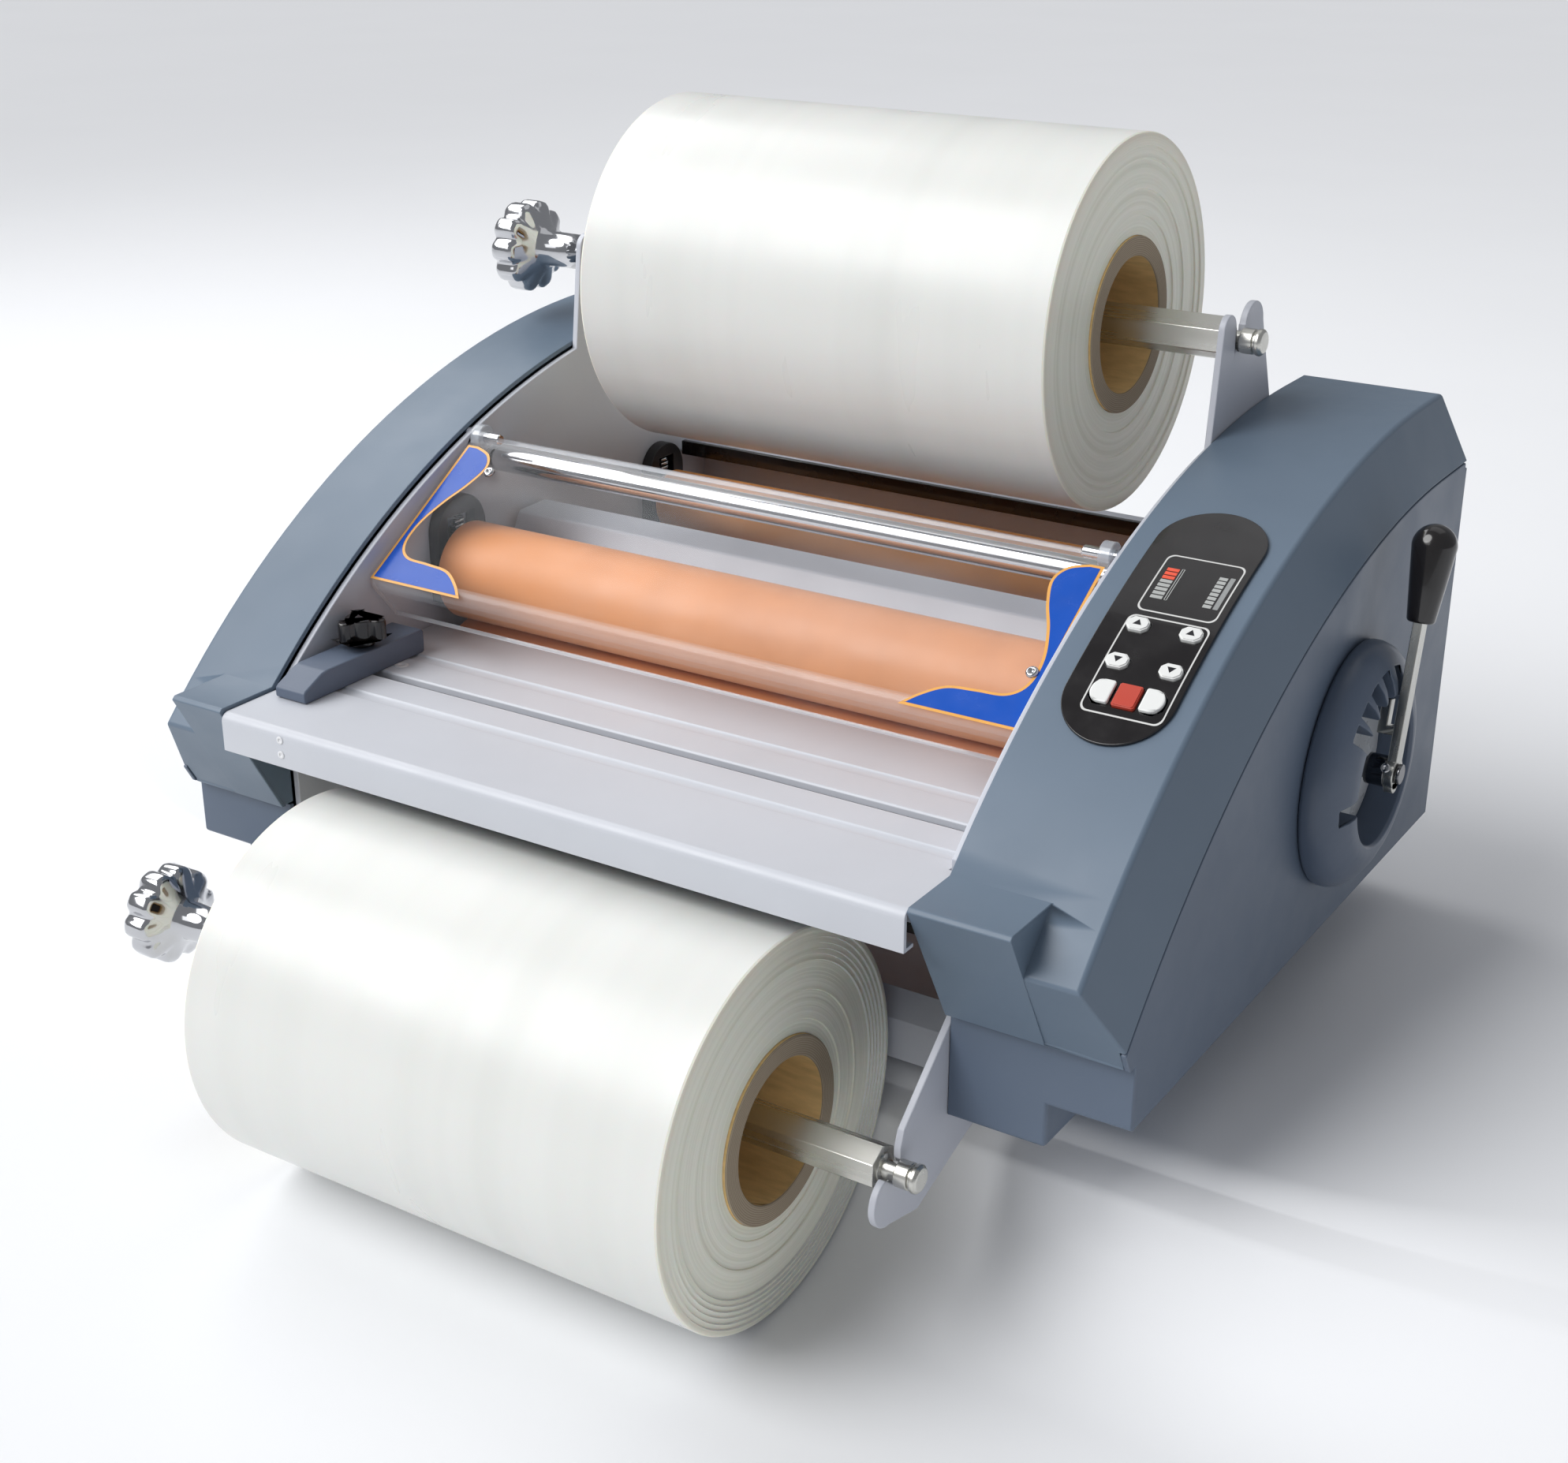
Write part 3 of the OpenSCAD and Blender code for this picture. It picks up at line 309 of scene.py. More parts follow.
def film_end(name, centre):
    """End of the wound film: rings of slightly stepped, yellowish layers."""
    look = Look(name, srgb(248, 247, 232), 0.4, Specular_IOR_Level=0.5,
                Subsurface_Weight=0.2, Subsurface_Scale=0.008)
    radius = look.radius_from(*centre)
    ring = look.node("ShaderNodeCombineXYZ")
    look.link(radius, ring.inputs[0])
    coarse = look.noise(260, 2, vector=ring.outputs[0])
    fine = look.noise(1800, 2, vector=ring.outputs[0])
    look.tint(look.spread(coarse, 0, 1, 0.42, 0.68), srgb(216, 215, 194), 0.55)
    look.tint(look.spread(fine, 0, 1, 0.5, 0.8), srgb(242, 242, 230), 0.5)
    look.relief(coarse, 0.5 * MM)
    return look.relief(fine, 0.07 * MM).material


def printed(name, colour, roughness=0.3):
    """Printed vinyl or ink: even colour with a faint tooth."""
    look = Look(name, colour, roughness, Specular_IOR_Level=0.4)
    look.mottle(0.04, 50).polish(roughness - 0.06, roughness + 0.08, 80)
    return look.relief(look.noise(1500, 2), 0.008 * MM).material


def lamp(name, colour, strength):
    """A lit segment behind its window."""
    look = Look(name, colour, 0.3, Emission_Color=colour, Emission_Strength=strength)
    look.mottle(0.1, 300)
    return look.material


def circuit_board(name):
    """Green laminate with paler copper tracks."""
    look = Look(name, srgb(30, 92, 56), 0.35)
    tracks = look.noise(240, 1, (0.02, 1, 1))
    look.tint(look.spread(tracks, 0, 1, 0.52, 0.56), srgb(52, 124, 78), 0.8)
    return look.mottle(0.1, 90).relief(tracks, 0.03 * MM).material


def stage_floor(name, colour):
    """Matt pale floor, very slightly uneven in tone."""
    look = Look(name, colour, 0.75, Specular_IOR_Level=0.15)
    look.mottle(0.006, 3)
    return look.material


HOUSING = moulded("housing", srgb(101, 117, 134))
HOUSING_LOW = moulded("housing_low", srgb(92, 105, 123))
DIAL = moulded("dial_moulding", srgb(84, 96, 114), 0.3, 0.42)
COAT = powder_coat("frame_coat", srgb(196, 199, 208))
TABLE = powder_coat("table_coat", srgb(202, 205, 212))
PANEL = gloss("panel_gloss", srgb(17, 13, 14), 0.16)
BLACK = gloss("black_gloss", srgb(22, 19, 19), 0.14)
BLACK_SATIN = moulded("black_satin", srgb(34, 34, 37), 0.3, 0.42)
DARK_STEEL = brushed("dark_steel", srgb(58, 58, 62), (1, 0.05, 0.05), 0.3)
TURNED = brushed("turned_steel", srgb(186, 187, 190), (1, 0.03, 0.03), 0.26)
HEX_BAR = brushed("mandrel_steel", srgb(206, 205, 199), (0.03, 1, 1), 0.28)
ZINC = brushed("zinc_plate", srgb(196, 196, 190), (1, 1, 0.05), 0.22)
CHROME = chrome("chrome")
BAR_CHROME = chrome("bar_chrome", 205)
FEET = rubber("foot_rubber", srgb(34, 34, 36))
BELT = rubber("belt_rubber", srgb(28, 28, 29), 2200)
FRONT_SILICONE = silicone("front_silicone", srgb(226, 152, 98), srgb(190, 118, 66))
# Orange silicone of the pull rollers with painted light: made brighter and more saturated to
# offset the shade the film roll casts on them.
REAR_SILICONE_LIT = silicone("rear_silicone_lit", srgb(236, 154, 66), srgb(196, 120, 48))
NYLON = moulded("nylon", srgb(222, 217, 200), 0.35, 0.5)
CERAMIC = moulded("ceramic", srgb(226, 224, 214), 0.4, 0.55)
KEY_WHITE = moulded("key_white", srgb(232, 233, 231), 0.28, 0.4)
KEY_RED = moulded("key_red", srgb(193, 72, 56), 0.3, 0.42)
SWITCH_RED = gloss("switch_red", srgb(150, 26, 22), 0.2)
GUIDE = moulded("guide_moulding", srgb(92, 103, 121))
ACRYLIC = clear_sheet("clear_acrylic", 0.015, 0.085)
# Painted reflection: a more opaque, whitish sheet on the shield's bends, standing for the light
# they mirror.
ACRYLIC_BEND_REFLECTION = clear_sheet("acrylic_bend_reflection", 0.12, 0.24)
# Partly painted highlight: cut edges and ears are denser, as acrylic seen edge-on is, and
# whitened further for their highlights.
ACRYLIC_EDGE_HIGHLIGHT = clear_sheet("acrylic_edge_highlight", 0.4, 0.55, (214, 220, 228))
PCB = circuit_board("circuit_board")
BLUE = printed("label_blue", srgb(24, 82, 182), 0.22)
ORANGE = printed("label_orange", srgb(236, 174, 92), 0.25)
INK_WHITE = printed("ink_white", srgb(214, 214, 212))
INK_BLACK = printed("ink_black", srgb(34, 34, 38))
LAMP_RED = lamp("lamp_red", srgb(216, 84, 60), 0.25)
LAMP_OFF = printed("lamp_off", srgb(176, 178, 176))
WINDOW = printed("window_grey", srgb(150, 152, 152))
SCALE = printed("scale_plate", srgb(186, 190, 194), 0.3)
# Partly painted highlight: flat white for small screw heads on the table, standing for their
# bright glints.
SCREW_HIGHLIGHT = printed("screw_highlight_white", srgb(228, 229, 232))
# Painted shade: dark gloss for sheets that stand in for shade, under the table and along the rear
# panel.
PAINTED_SHADE_DARK = gloss("painted_shade_dark", srgb(24, 21, 22), 0.2)
BLUE_SCREW = chrome("blued_screw", 150)
HUB_CHROME = chrome("hub_chrome", 120)
FILM_FACE = film_face("film_face")

# ---- geometry helpers ----

# Edges of a CAD mesh that bend by less than this are part of one smooth surface
SMOOTH_BEND = 24
# Share of a narrow patch's breadth, and of a neighbouring edge, that a rounding may take
PATCH_SHARE, EDGE_SHARE = 0.28, 0.42
# Cosine beyond which the next edge carries on the same line
IN_LINE = -0.87


def placed(name, data):
    """A new object in the scene, holding a mesh, light or camera."""
    made = bpy.data.objects.new(name, data)
    bpy.context.scene.collection.objects.link(made)
    return made


def aimed(name, data, direction, axis):
    """A new object in the scene with one of its axes along a direction."""
    made = placed(name, data)
    made.rotation_mode = "QUATERNION"
    made.rotation_quaternion = direction.to_track_quat(axis, "Y")
    return made


def new_piece(name, mesh, material, body, smooth=True):
    """An object from a mesh, with its material, riding on a CAD body."""
    mesh.materials.clear()
    for each in material if isinstance(material, (list, tuple)) else [material]:
        mesh.materials.append(each)
    mesh.polygons.foreach_set("use_smooth", [smooth] * len(mesh.polygons))
    piece = placed(name, mesh)
    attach(piece, body)
    return piece


def mesh_of(name, points, faces):
    """A mesh with doubled points merged and its faces turned outwards."""
    mesh = bpy.data.meshes.new(name)
    mesh.from_pydata([tuple(p) for p in points], [], faces)
    work = bmesh.new()
    work.from_mesh(mesh)
    bmesh.ops.remove_doubles(work, verts=work.verts, dist=1e-7)
    bmesh.ops.recalc_face_normals(work, faces=work.faces)
    work.to_mesh(mesh)
    work.free()
    return mesh


def rounded(piece, width, segments=3, by_weight=False, angle=30):
    """Rounds a piece's edges and evens its shading."""
    bevel = piece.modifiers.new("round", "BEVEL")
    bevel.width = width
    bevel.segments = segments
    bevel.use_clamp_overlap = False
    bevel.harden_normals = False
    bevel.limit_method = "WEIGHT" if by_weight else "ANGLE"
    bevel.angle_limit = math.radians(angle)
    bevel.miter_outer = "MITER_SHARP"
    shade = piece.modifiers.new("even", "WEIGHTED_NORMAL")
    shade.keep_sharp = True
    return piece


def patch_breadths(work, bend):
    """For each face, the breadth (twice area over outline) of the smooth patch it is in."""
    breadth = {}
    for start in work.faces:
        if start.index in breadth:
            continue
        patch, queue, inside = {start.index}, [start], 0.0
        area, outline = 0.0, 0.0
        while queue:
            face = queue.pop()
            area += face.calc_area()
            for edge in face.edges:
                if len(edge.link_faces) != 2 or abs(edge.calc_face_angle_signed(0.0)) > bend:
                    outline += edge.calc_length()
                    continue
                for other in edge.link_faces:
                    if other.index not in patch:
                        patch.add(other.index)
                        queue.append(other)
        for index in patch:
            breadth[index] = 2 * area / max(outline, 1e-9)
    return breadth


def room_beside(edge):
    """How wide a rounding the edges that meet this one's ends leave room for."""
    room = 1.0
    for corner in edge.verts:
        along = (edge.other_vert(corner).co - corner.co).normalized()
        for other in corner.link_edges:
            if other is edge:
                continue
            away = (other.other_vert(corner).co - corner.co).normalized()
            cosine = max(-1.0, min(1.0, along.dot(away)))
            if cosine < IN_LINE:
                continue
            sine = math.sqrt(1 - cosine * cosine)
            room = min(room, EDGE_SHARE * other.calc_length() * max(sine, 0.2))
    return room


def dressed(node, material, body, large=0.0, small=0.4 * MM, thin=5 * MM, crease=SMOOTH_BEND):
    """A CAD node's own mesh with rounded edges, shown in its place.

    Edges next to a thin wall's rim get the small radius, and the other outside edges
    the large one. Bends over crease degrees that stay unrounded are shaded as sharp.
    """
    work = bmesh.new()
    work.from_mesh(frame["nodes"][node].data)
    bmesh.ops.remove_doubles(work, verts=work.verts, dist=0.004 * MM)
    bmesh.ops.dissolve_limit(work, angle_limit=math.radians(0.6), verts=work.verts,
                             edges=work.edges)
    work.faces.index_update()
    bend_limit = math.radians(SMOOTH_BEND)
    crease = math.radians(crease)
    breadth = patch_breadths(work, bend_limit)
    widest = max(large, small)
    weights = work.edges.layers.float.new("bevel_weight_edge")
    for edge in work.edges:
        if len(edge.link_faces) != 2:
            continue
        bend = edge.calc_face_angle_signed(0.0)
        if bend < -bend_limit or crease < abs(bend) <= bend_limit:
            edge.smooth = False
        if bend <= bend_limit:
            continue
        narrow = min(breadth[f.index] for f in edge.link_faces)
        radius = large if large and narrow > thin else small
        edge[weights] = min(radius, narrow * PATCH_SHARE, room_beside(edge)) / widest
    mesh = bpy.data.meshes.new(node)
    work.to_mesh(mesh)
    work.free()
    piece = new_piece(node + ".dressed", mesh, material, body)
    rounded(piece, widest, 3 if large else 2, by_weight=True)
    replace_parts(piece, node)
    return piece


def plain(node, material):
    """A CAD node shown as it is."""
    materials = frame["nodes"][node].data.materials
    materials.clear()
    materials.append(material)


def turned_faces(steps, n, closed=False):
    """Faces between the copies of an n-point profile in a turned shape."""
    faces = []
    for i in range(steps):
        k = (i + 1) % steps
        for j in range(n if closed else n - 1):
            m = (j + 1) % n
            faces.append((i * n + j, i * n + m, k * n + m, k * n + j))
    return faces


def lathe(name, profile, centre, material, body, steps=96, closed=True):
    """A turned piece about an axis along X; profile points are (x, radius)."""
    points = []
    for i in range(steps):
        a = 2 * math.pi * i / steps
        points += [(x, centre[0] + r * math.sin(a), centre[1] + r * math.cos(a))
                   for x, r in profile]
    mesh = mesh_of(name, points, turned_faces(steps, len(profile), closed))
    return creased(new_piece(name, mesh, material, body))


def creased(piece, angle=28):
    """Keeps a smooth piece's sharper edges crisp."""
    work = bmesh.new()
    work.from_mesh(piece.data)
    limit = math.radians(angle)
    for edge in work.edges:
        if len(edge.link_faces) == 2 and abs(edge.calc_face_angle_signed(0.0)) > limit:
            edge.smooth = False
    work.to_mesh(piece.data)
    work.free()
    return piece


def prism(name, outline, place, depth, material, body, round_by=0.0):
    """A flat outline made thick; place(u, v, w) gives a point w above the surface."""
    n = len(outline)
    points = [place(u, v, 0) for u, v in outline] + [place(u, v, depth) for u, v in outline]
    faces = [tuple(range(n)), tuple(range(n, 2 * n))]
    faces += [(i, (i + 1) % n, n + (i + 1) % n, n + i) for i in range(n)]
    mesh = mesh_of(name, points, faces)
    work = bmesh.new()
    work.from_mesh(mesh)
    bmesh.ops.triangulate(work, faces=[f for f in work.faces if len(f.verts) > 4])
    work.to_mesh(mesh)
    work.free()
    piece = new_piece(name, mesh, material, body, smooth=False)
    if round_by:
        rounded(piece, round_by, 2)
    return piece


def frame_ring(name, outer, inner, place, depth, material, body):
    """A flat ring between two outlines with as many points each."""
    n = len(outer)
    points = []
    for w in (0, depth):
        points += [place(u, v, w) for u, v in outer] + [place(u, v, w) for u, v in inner]
    faces = []
    for i in range(n):
        k = (i + 1) % n
        faces += [(i, k, n + k, n + i), (2 * n + i, 2 * n + k, 3 * n + k, 3 * n + i),
                  (i, k, 2 * n + k, 2 * n + i), (n + i, n + k, 3 * n + k, 3 * n + i)]
    return new_piece(name, mesh_of(name, points, faces), material, body, smooth=False)


def round_rect(u0, v0, u1, v1, r, steps=6, step=4 * MM):
    """Outline of a rectangle with round corners, with points along its sides too."""
    corners = [(u1 - r, v1 - r, 0), (u0 + r, v1 - r, 90),
               (u0 + r, v0 + r, 180), (u1 - r, v0 + r, 270)]
    outline = []
    for cu, cv, start in corners:
        turns = [math.radians(start + 90 * i / steps) for i in range(steps + 1)]
        outline += [(cu + r * math.cos(a), cv + r * math.sin(a)) for a in turns]
    full = []
    for i, p in enumerate(outline):
        q = outline[(i + 1) % len(outline)]
        count = max(1, round(math.dist(p, q) / step))
        full += [(p[0] + (q[0] - p[0]) * k / count, p[1] + (q[1] - p[1]) * k / count)
                 for k in range(count)]
    return full


def curve_through(points, steps=8):
    """A smooth open line through the points (Catmull-Rom)."""
    def between(a, b, c, d, t):
        cubic = 3 * b - a - 3 * c + d
        return 0.5 * (2 * b + (c - a) * t + (2 * a - 5 * b + 4 * c - d) * t * t
                      + cubic * t ** 3)

    ends = [points[0], *points, points[-1]]
    line = []
    for corners in zip(ends, ends[1:], ends[2:], ends[3:]):
        for i in range(steps):
            line.append(tuple(between(*(p[k] for p in corners), i / steps) for k in (0, 1)))
    return line + [points[-1]]


def sheet_along(name, path, x0, x1, thickness, materials, body):
    """A sheet of constant thickness that follows a (y, z) path, from x0 to x1.

    The materials are those of its faces, its cut edges and its bends.
    """
    half = thickness / 2
    sides = ([], [])
    for i, p in enumerate(path):
        a, b = Vector(path[max(i - 1, 0)]), Vector(path[min(i + 1, len(path) - 1)])
        along = (b - a).normalized()
        normal = Vector((-along.y, along.x))
        for side, sign in zip(sides, (1, -1)):
            side.append(Vector(p) + normal * half * sign)
    section = sides[0] + sides[1][::-1]
    n = len(section)
    points = [(x, p.x, p.y) for x in (x0, x1) for p in section]
    faces = [(i, (i + 1) % n, n + (i + 1) % n, n + i) for i in range(n)]
    m = len(path)
    for i in range(m - 1):
        for base in (0, n):
            faces.append((base + i, base + i + 1, base + n - 2 - i, base + n - 1 - i))
    mesh = mesh_of(name, points, faces)
    piece = new_piece(name, mesh, materials, body)
    narrow = (x1 - x0) * 5 * MM
    for polygon in mesh.polygons:
        flat_end = abs(polygon.normal.x) > 0.9
        strip = polygon.area < narrow and not flat_end
        rim = strip and any(v in polygon.vertices for v in (0, m - 1))
        polygon.material_index = 1 if flat_end or rim else 2 if strip else 0
        polygon.use_smooth = not flat_end
    rounded(piece, 0.5 * MM, 2, angle=50)
    return piece


def helix(name, centre, radius, wire, turns, length, material, body):
    """A coil spring standing along Z, as a swept tube."""
    steps, sides = 20, 10
    points, faces = [], []
    count = int(turns * steps)
    rise = (length - 2 * wire) / count
    lead = math.atan2(rise * steps, 2 * math.pi * radius)
    for i in range(count + 1):
        a = 2 * math.pi * i / steps
        out = Vector((math.cos(a), math.sin(a), 0))
        along = Vector((-math.sin(a), math.cos(a), math.tan(lead))).normalized()
        up = out.cross(along) * -1
        heart = Vector(centre) + out * radius + Vector((0, 0, wire + rise * i))
        for s in range(sides):
            b = 2 * math.pi * s / sides
            points.append(heart + (out * math.cos(b) + up * math.sin(b)) * wire)
    for i in range(count):
        for s in range(sides):
            k = (s + 1) % sides
            faces.append((i * sides + s, i * sides + k, (i + 1) * sides + k, (i + 1) * sides + s))
    faces += [tuple(range(sides)), tuple(range(count * sides, (count + 1) * sides))]
    return new_piece(name, mesh_of(name, points, faces), material, body)


def on_arch(x, y, lift):
    """The point above the right housing's arch at depth y."""
    lean = math.asin((ARCH_Y - y) / ARCH_R)
    r = ARCH_R + lift
    return x, ARCH_Y - r * math.sin(lean), ARCH_Z + r * math.cos(lean)


def above_panel(u, v, w):
    """A point w above the control panel; u runs along X, v along Y."""
    return on_arch(u, v, PANEL_TOP + w)


def screw(name, at, normal, radius, height, material, body, slot=True):
    """A round screw head with a recess, standing on a surface."""
    normal = Vector(normal).normalized()
    turn = normal.to_track_quat("Z", "Y").to_matrix()
    steps = 40
    recess_r, recess_z = radius * 0.38, height * 0.35
    profile = [(0, 0), (radius, 0), (radius, height * 0.45), (radius * 0.92, height * 0.8),
               (radius * 0.7, height), (radius * 0.42, height), (recess_r, recess_z),
               (0, recess_z)]
    points = []
    for i in range(steps):
        a = 2 * math.pi * i / steps
        for r, h in profile:
            reach = r * (0.86 if slot and r == recess_r and i % 10 < 5 else 1)
            offset = Vector((reach * math.cos(a), reach * math.sin(a), h))
            points.append(Vector(at) + turn @ offset)
    mesh = mesh_of(name, points, turned_faces(steps, len(profile)))
    return new_piece(name, mesh, material, body)


# ---- camera, light and stage ----

# The photograph's camera, solved from the machine's straight edges and circles
AZIMUTH, ELEVATION = math.radians(32.89), math.radians(22.91)
back = Vector((math.sin(AZIMUTH) * math.cos(ELEVATION),
               -math.cos(AZIMUTH) * math.cos(ELEVATION), math.sin(ELEVATION)))
lens = bpy.data.cameras.new("camera")
lens.sensor_width = 36
lens.lens = 52.126
camera = aimed("camera", lens, -back, "-Z")
camera.location = (0.6712, -1.0386, 0.6411)
bpy.context.scene.camera = camera
bpy.context.scene.view_settings.view_transform = "Standard"

world = bpy.data.worlds.new("world")
world.use_nodes = True
sky = world.node_tree.nodes["Background"].inputs
sky["Color"].default_value = (0.93, 0.95, 1.0, 1)
sky["Strength"].default_value = 0.3
bpy.context.scene.world = world


def soft_light(name, at, aim, size, watts):
    """A rectangular soft light at a place, turned towards a point."""
    lamp_data = bpy.data.lights.new(name, "AREA")
    lamp_data.shape = "RECTANGLE"
    lamp_data.size, lamp_data.size_y = size
    lamp_data.energy = watts
    aimed(name, lamp_data, Vector(aim) - Vector(at), "-Z").location = at


def broad_sun(name, toward, strength, spread):
    """Even light from far away; toward points at it, spread is its width in degrees."""
    lamp_data = bpy.data.lights.new(name, "SUN")
    lamp_data.energy = strength
    lamp_data.angle = math.radians(spread)
    aimed(name, lamp_data, Vector(toward), "Z")


broad_sun("key", (-0.5, -0.55, 0.72), 2.25, 42)
soft_light("left", (-1.6, 0.35, 1.75), (0, 0, 0.2), (1.5, 1.2), 17)
soft_light("top", (0.2, 0.9, 2.1), (0, 0, 0.1), (1.8, 1.2), 3)
soft_light("front", (-0.9, -2.4, 1.6), (0, 0, 0.15), (1.6, 1.0), 7)

BENCH_EDGE = -122 * MM
EDGE_R = 14 * MM
FILM_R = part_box("lower_film")[1].z - LOWER_ROLL[1]
FLOOR_Z = LOWER_ROLL[1] - FILM_R - 2 * MM


def eased(t):
    """0 to 1 with a gentle start and end."""
    return t * t * (3 - 2 * t)


def dip_line():
    """(y, z) of the bench from behind, over its edge and round the film, to the front."""
    sweep = LOWER_ROLL[1] - FLOOR_Z
    start = math.asin((LOWER_ROLL[1] + EDGE_R * 1.2) / sweep)
    edge = [math.radians(80 * i / 12) for i in range(13)]
    round_film = [start + (math.pi / 2 - start) * i / 24 for i in range(25)]
    line = [(16.0, 0.0), (1.0, 0.0), (0.3, 0.0)]
    line += [(BENCH_EDGE + EDGE_R * (1 - math.sin(a)), -EDGE_R * (1 - math.cos(a)))
             for a in edge]
    line += [(LOWER_ROLL[0] + sweep * math.cos(a), LOWER_ROLL[1] - sweep * math.sin(a))
             for a in round_film]
    return line + [(-0.6, FLOOR_Z), (-1.2, FLOOR_Z), (-4.0, FLOOR_Z)]


def bench():
    """Pale bench top under the feet that dips in front, around the lower film, to the
    floor. Away from the machine the dip widens into a gentle ramp."""
    tight = dip_line()
    n = len(tight)
    rows = [-16, -5, -2.4] + [-1.3 + 0.0325 * i for i in range(31)]
    rows += [-x for x in rows[::-1]]
    points = []
    for x in rows:
        away = eased(min(1, max(0, (abs(x) - 0.34) / 0.7)))
        for i, (y, z) in enumerate(tight):
            ramp = 0 if i < 3 else 1 if i >= n - 3 else (i - 2) / (n - 5)
            gentle_y = y if i < 3 or i >= n - 3 else 0.28 - 0.86 * ramp
            gentle_z = FLOOR_Z * eased(ramp)
            points.append((x, y + (gentle_y - y) * away, z + (gentle_z - z) * away))
    faces = [(r * n + i, r * n + i + 1, r * n + n + i + 1, r * n + n + i)
             for r in range(len(rows) - 1) for i in range(n - 1)]
    mesh = bpy.data.meshes.new("stage")
    mesh.from_pydata(points, [], faces)
    mesh.materials.append(stage_floor("stage_white", srgb(242, 243, 245)))
    mesh.polygons.foreach_set("use_smooth", [True] * len(mesh.polygons))
    placed("stage", mesh)


bench()

# ---- housings, frame and table ----

for side in ("left", "right"):
    dressed("upper_cover_" + side, HOUSING, "frame", 2.2 * MM, 0.7 * MM, crease=8)
    dressed("lower_cover_" + side, HOUSING_LOW, "frame", 2.2 * MM, 0.7 * MM, crease=8)
    dressed("side_frame_" + side, COAT, "frame", 0.0, 0.7 * MM)
dressed("base_pan", COAT, "frame")
dressed("rear_panel", COAT, "frame")
dressed("feed_table", TABLE, "frame")
dressed("pressure_dial", DIAL, "frame", 2.6 * MM, 1.2 * MM, 3 * MM)
dressed("control_panel", PANEL, "frame", 0.0, 0.5 * MM)
dressed("power_inlet", BLACK, "frame", 0.0, 0.5 * MM)
dressed("power_rocker", SWITCH_RED, "power_switch", 0.0, 0.5 * MM)
dressed("control_board", PCB, "frame", 0.0, 0.3 * MM)
dressed("gearmotor", DARK_STEEL, "frame", 0.0, 0.5 * MM)
dressed("feet", FEET, "frame", 0.0, 1.0 * MM)
dressed("roller_bearings", BLACK_SATIN, "frame", 0.0, 0.6 * MM)
plain("drive_belt", BELT)
plain("lower_heater", CERAMIC)
plain("shield_pins", BAR_CHROME)

# ---- rollers and drive ----

dressed("upper_bearing_blocks", BLACK_SATIN, "upper_carriage", 0.0, 0.5 * MM)
plain("upper_heater", CERAMIC)
for level in ("upper", "lower"):
    plain(level + "_roller_tube", TURNED)
    dressed(level + "_roller_sleeve", FRONT_SILICONE, level + "_roller", 0.0, 1.1 * MM)
    dressed(level + "_roller_gear", NYLON, level + "_roller", 0.0, 0.25 * MM)
    plain(level + "_pull_shaft", TURNED)
    dressed(level + "_pull_sleeve", REAR_SILICONE_LIT, level + "_pull", 0.0, 1.1 * MM)
dressed("pull_pulley", NYLON, "lower_pull", 0.0, 0.4 * MM)
dressed("motor_pinion", ZINC, "drive_pinion", 0.0, 0.2 * MM)
dressed("upper_idler", BAR_CHROME, "idler", 0.0, 0.5 * MM)

# ---- pressure control ----

GRIP_R = 11.85 * MM
# Radius that closes the end of a turned shape
POINT_R = 0.01 * MM

dressed("pressure_lever", ZINC, "lever", 0.0, 0.5 * MM)
dressed("pressure_shaft", HUB_CHROME, "lever", 0.0, 0.5 * MM)


def grip():
    """Tapered round grip with a domed end, along the lever."""
    low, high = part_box("lever_grip")
    heart = Vector(((low.x + high.x) / 2, *LEVER))
    along = Vector((0, math.sin(LEVER_LEAN), math.cos(LEVER_LEAN)))
    side = Vector((0, math.cos(LEVER_LEAN), -math.sin(LEVER_LEAN)))
    reach = (high.z - LEVER[1] - GRIP_R) / math.cos(LEVER_LEAN)
    # (distance from the dome's middle, radius) in millimetres, from the lower end
    stem = [(-40.4, 0.1), (-40.4, 6.4), (-40, 7), (-39, 7.5), (-20, 9.65), (0, 11.8)]
    profile = [(reach + t * MM, r * MM) for t, r in stem]
    profile += [(reach + GRIP_R * math.sin(a), GRIP_R * math.cos(a))
                for a in [math.radians(6 + 84 * i / 14) for i in range(15)]]
    steps = 72
    points = []
    for i in range(steps):
        a = 2 * math.pi * i / steps
        out = side * math.cos(a) + Vector((1, 0, 0)) * math.sin(a)
        points += [heart + along * t + out * max(r, POINT_R) for t, r in profile]
    mesh = mesh_of("lever_grip.turned", points, turned_faces(steps, len(profile)))
    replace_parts(new_piece("lever_grip.turned", mesh, BLACK, "lever"), "lever_grip")


grip()
dressed("lift_rockers", ZINC, "rockers", 0.0, 0.4 * MM)

# ---- film rolls ----

FILM_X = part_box("lower_film")[1].x
CORE_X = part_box("lower_core")[1].x
BORE_R = 38.1 * MM
CORE_R = 49.1 * MM
CORE_CHAMFER = 0.7 * MM
LOBES = 10
LOBE_DEPTH = 3.6 * MM

# (radius, how far the layers stand in from the end) in millimetres, outermost first
STEPS = {
    "upper": [(104.8, 1.4), (104.3, 0.5), (103.2, 0.1), (97.4, 0.0), (96.9, 0.9), (90.6, 0.5),
              (90.2, 1.3), (74.5, 0.7), (74.1, 1.5), (60.3, 0.9), (59.9, 1.7), (49.3, 1.4)],
    "lower": [(104.8, 1.4), (104.3, 0.5), (103.2, 0.1), (101.3, 0.0), (100.9, 1.1), (98.4, 0.3),
              (98.0, 1.4), (95.3, 0.5), (94.9, 1.6), (92.4, 0.7), (92.0, 1.8), (89.6, 0.9),
              (89.2, 2.0), (86.6, 1.1), (86.2, 2.2), (71.5, 1.2), (71.0, 2.0), (56.8, 1.0),
              (56.4, 1.8), (49.3, 1.6)],
}


def ends_apart(piece, flatness=0.35):
    """Second material on the faces that look along X."""
    for polygon in piece.data.polygons:
        polygon.material_index = 1 if abs(polygon.normal.x) > flatness else 0


